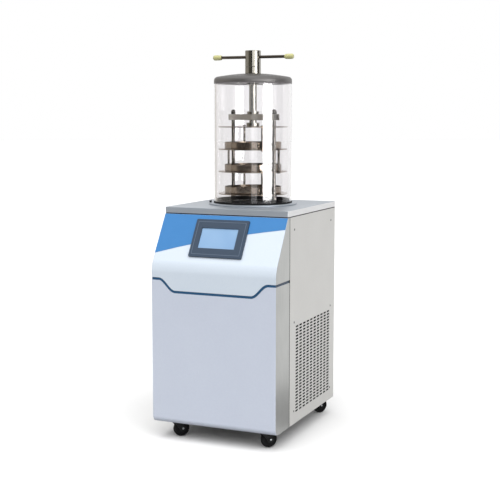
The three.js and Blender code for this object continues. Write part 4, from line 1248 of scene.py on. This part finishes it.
baseSizes = dict(inner=70, outer=116, edge=0.5)
postSizes = dict(end=5, foot=9, footRise=3.3, run=6, hole=5.3, edge=0.5)
# the nut's dome gives radius and height from its foot, and ceiling is where the bore ends
acornSizes = dict(
    bore=5.3, radius=8.8, sides=6, height=8, edge=0.7, ceiling=8.3, sharp=40,
    dome=((5.3, 0.2), (7.4, 0.2), (7.4, 8), (6.9, 10.8), (5.6, 13), (3.4, 14.7)))
crossSizes = dict(halfLength=113, halfDepth=15, height=20, edge=1.4, bore=13.3)
bossSizes = dict(radius=20, sink=0.2, edge=0.8)


def makeRack():
    spots = pairAt(shelfSizes["postTurn"])
    low, high = span("rack_base")
    b = baseSizes
    # the base ring's dark brown-grey is painted shade and painted dark reflection at the chamber's
    # foot
    piece = lathed(
        "rackBase", wallProfile(b["inner"], b["outer"], low.z, high.z), rounds["plate"],
        "paintedDarkWellStainless", "stainless_steel", ["rack_base"], closed=True, edge=b["edge"])
    drill(piece, spots, postSizes["hole"], low.z, high.z)

    p = postSizes
    shoulder = span("crosshead")[0].z - clearance
    footTop = shelfTop(shelfSizes["count"]) - shelfSizes["thickness"] - clearance
    for label, place in zip("AB", spots):
        node = "guide_post_" + label.lower()
        low, high = span(node)
        step = low.z + p["footRise"]
        lathed("guidePost" + label, [
            (0, low.z), (p["end"], low.z), (p["end"], step), (p["foot"], step),
            (p["foot"], footTop), (p["run"], footTop), (p["run"], shoulder),
            (p["end"], shoulder), (p["end"], high.z), (0, high.z)],
            rounds["bar"], "drawnStainless", "stainless_steel", [node], place, edge=p["edge"])
    a = acornSizes
    for label, place in zip("AB", spots):
        node = "acorn_nut_" + label.lower()
        low, high = span(node)
        hexagon = turned(
            wallProfile(a["bore"], a["radius"], low.z, low.z + a["height"]), a["sides"],
            closed=True, edge=a["edge"])
        ceiling = low.z + a["ceiling"]
        dome = turned([
            *((radius, low.z + rise) for radius, rise in a["dome"]), (0, high.z), (0, ceiling),
            (a["bore"], ceiling)], rounds["bar"])
        finished(
            "acornNut" + label, atChamber(gather(hexagon, dome), *place), "drawnStainless",
            [node], sharp=a["sharp"])

    c = crossSizes
    low, high = span("crosshead")
    top = low.z + c["height"]
    bar = block(
        (-c["halfLength"], -c["halfDepth"], low.z), (c["halfLength"], c["halfDepth"], top),
        c["edge"], segments=3)
    swung(bar, shelfSizes["postTurn"])
    piece = finished(
        "crossBar", atChamber(bar), "milledAluminium", ["crosshead"])
    drill(piece, [(0, 0)], c["bore"], low.z, top, rounds["rod"])
    drill(piece, spots, postSizes["hole"], low.z, top)
    lathed(
        "crossBarBoss",
        wallProfile(c["bore"], bossSizes["radius"], top - bossSizes["sink"], high.z),
        rounds["rod"], "turnedStainless", "aluminium", closed=True, edge=bossSizes["edge"])

    for number, body in ((1, "press"), (2, "second_shelf"), (3, "third_shelf"), (4, "cabinet")):
        makeShelf(number, body)
    for number, body in ((1, "second_shelf"), (2, "third_shelf"), (3, "cabinet")):
        makeTray(number, body)


makeRack()
print("rack made")


# Casters

casterSizes = dict(turn=53, trail=20)
wheelSizes = dict(
    radius=27.5, sharp=45,
    # the tyre's section from bore to tread: radius, and half its width there
    section=(
        (3.4, 10), (9, 10), (10.5, 9.5), (13, 7.2), (19, 7.2), (21, 9.4), (24, 9.2), (26.7, 6),
        (27.5, 2.5)))
# the section gives shares of the radius, and heights from the foot
capSizes = dict(foot=14.6, radius=3.6, section=((0, 0), (1, 0), (0.9, 0.8), (0.5, 1.3), (0, 1.5)))
forkSizes = dict(edge=0.8, over=40)
# radius and distance from the cup's foot, then radius and distance from its head
cupSizes = dict(bore=5.3, foot=((17.4, 0), (18, 0.8)), head=((18, 0.4), (17.6, 0)))


def makeCaster(place):
    label = "".join(word.capitalize() for word in place.split("_"))
    fork, plateNode = "fork_" + place, "caster_plate_" + place
    plate = middle(plateNode)
    turn = Matrix.Rotation(math.radians(casterSizes["turn"]), 4, "Z")
    stand = Matrix.Translation((plate.x, plate.y, 0)) @ turn

    def onAxle(bm):
        shifted(bm, casterSizes["trail"], 0, wheelSizes["radius"])
        bmesh.ops.transform(bm, matrix=stand, verts=bm.verts)
        return bm

    section = wheelSizes["section"]
    outline = [(r, -half) for r, half in section] + [(r, half) for r, half in reversed(section)]
    tyre = laidAlong(turned(outline, rounds["tyre"], closed=True), "y")
    finished(
        "wheel" + label, onAxle(tyre), "blackRubber",
        ["caster_wheel_" + place], "wheel_" + place, wheelSizes["sharp"])

    c = capSizes
    for side, where in ((-1, "Near"), (1, "Far")):
        section = [(share * c["radius"], c["foot"] + height) for share, height in c["section"]]
        cap = laidAlong(turned(section, rounds["pin"]), "y")
        if side < 0:
            swung(cap, 180)
        finished(
            f"axleCap{label}{where}", onAxle(cap), "zincPlatedSteel", body=fork)

    piece = finished(
        "fork" + label, copyOfNode("caster_" + fork), "blackNylon",
        ["caster_" + fork], fork, recalculated=False)
    addModifier(
        piece, "BEVEL", width=forkSizes["edge"] / 1000, segments=2, limit_method="ANGLE",
        angle_limit=math.radians(forkSizes["over"]))

    c = cupSizes
    low, high = span(plateNode)
    cup = turned([
        (c["bore"], low.z), *((radius, low.z + rise) for radius, rise in c["foot"]),
        *((radius, high.z - fall) for radius, fall in c["head"]), (c["bore"], high.z)],
        rounds["rod"], closed=True)
    finished(
        "swivelCup" + label, shifted(cup, plate.x, plate.y, 0), "zincPlatedSteel",
        [plateNode])


for place in ("front_left", "front_right", "rear_left", "rear_right"):
    makeCaster(place)
print("casters made")


# The other nodes keep their own shape and take a finish

keptFinishes = dict(
    base_pan="blackEnamel", back_panel="greyPowderCoat", power_inlet="blackNylon",
    power_switch="blackNylon", vacuum_port="brushedStainless", drain_valve="machinedBrass",
    drain_lever="blackEnamel", trap_insulation="closedCellFoam", compressor="blackEnamel",
    condenser="aluminiumFins", fan_rotor="blackNylon")
for node, material in keptFinishes.items():
    dressed(node, material)

# flat faces stay flat beside their softened edges
for piece in scene.objects:
    if "sharp" in piece:
        addModifier(piece, "WEIGHTED_NORMAL", keep_sharp=True, weight=50)
        del piece["sharp"]
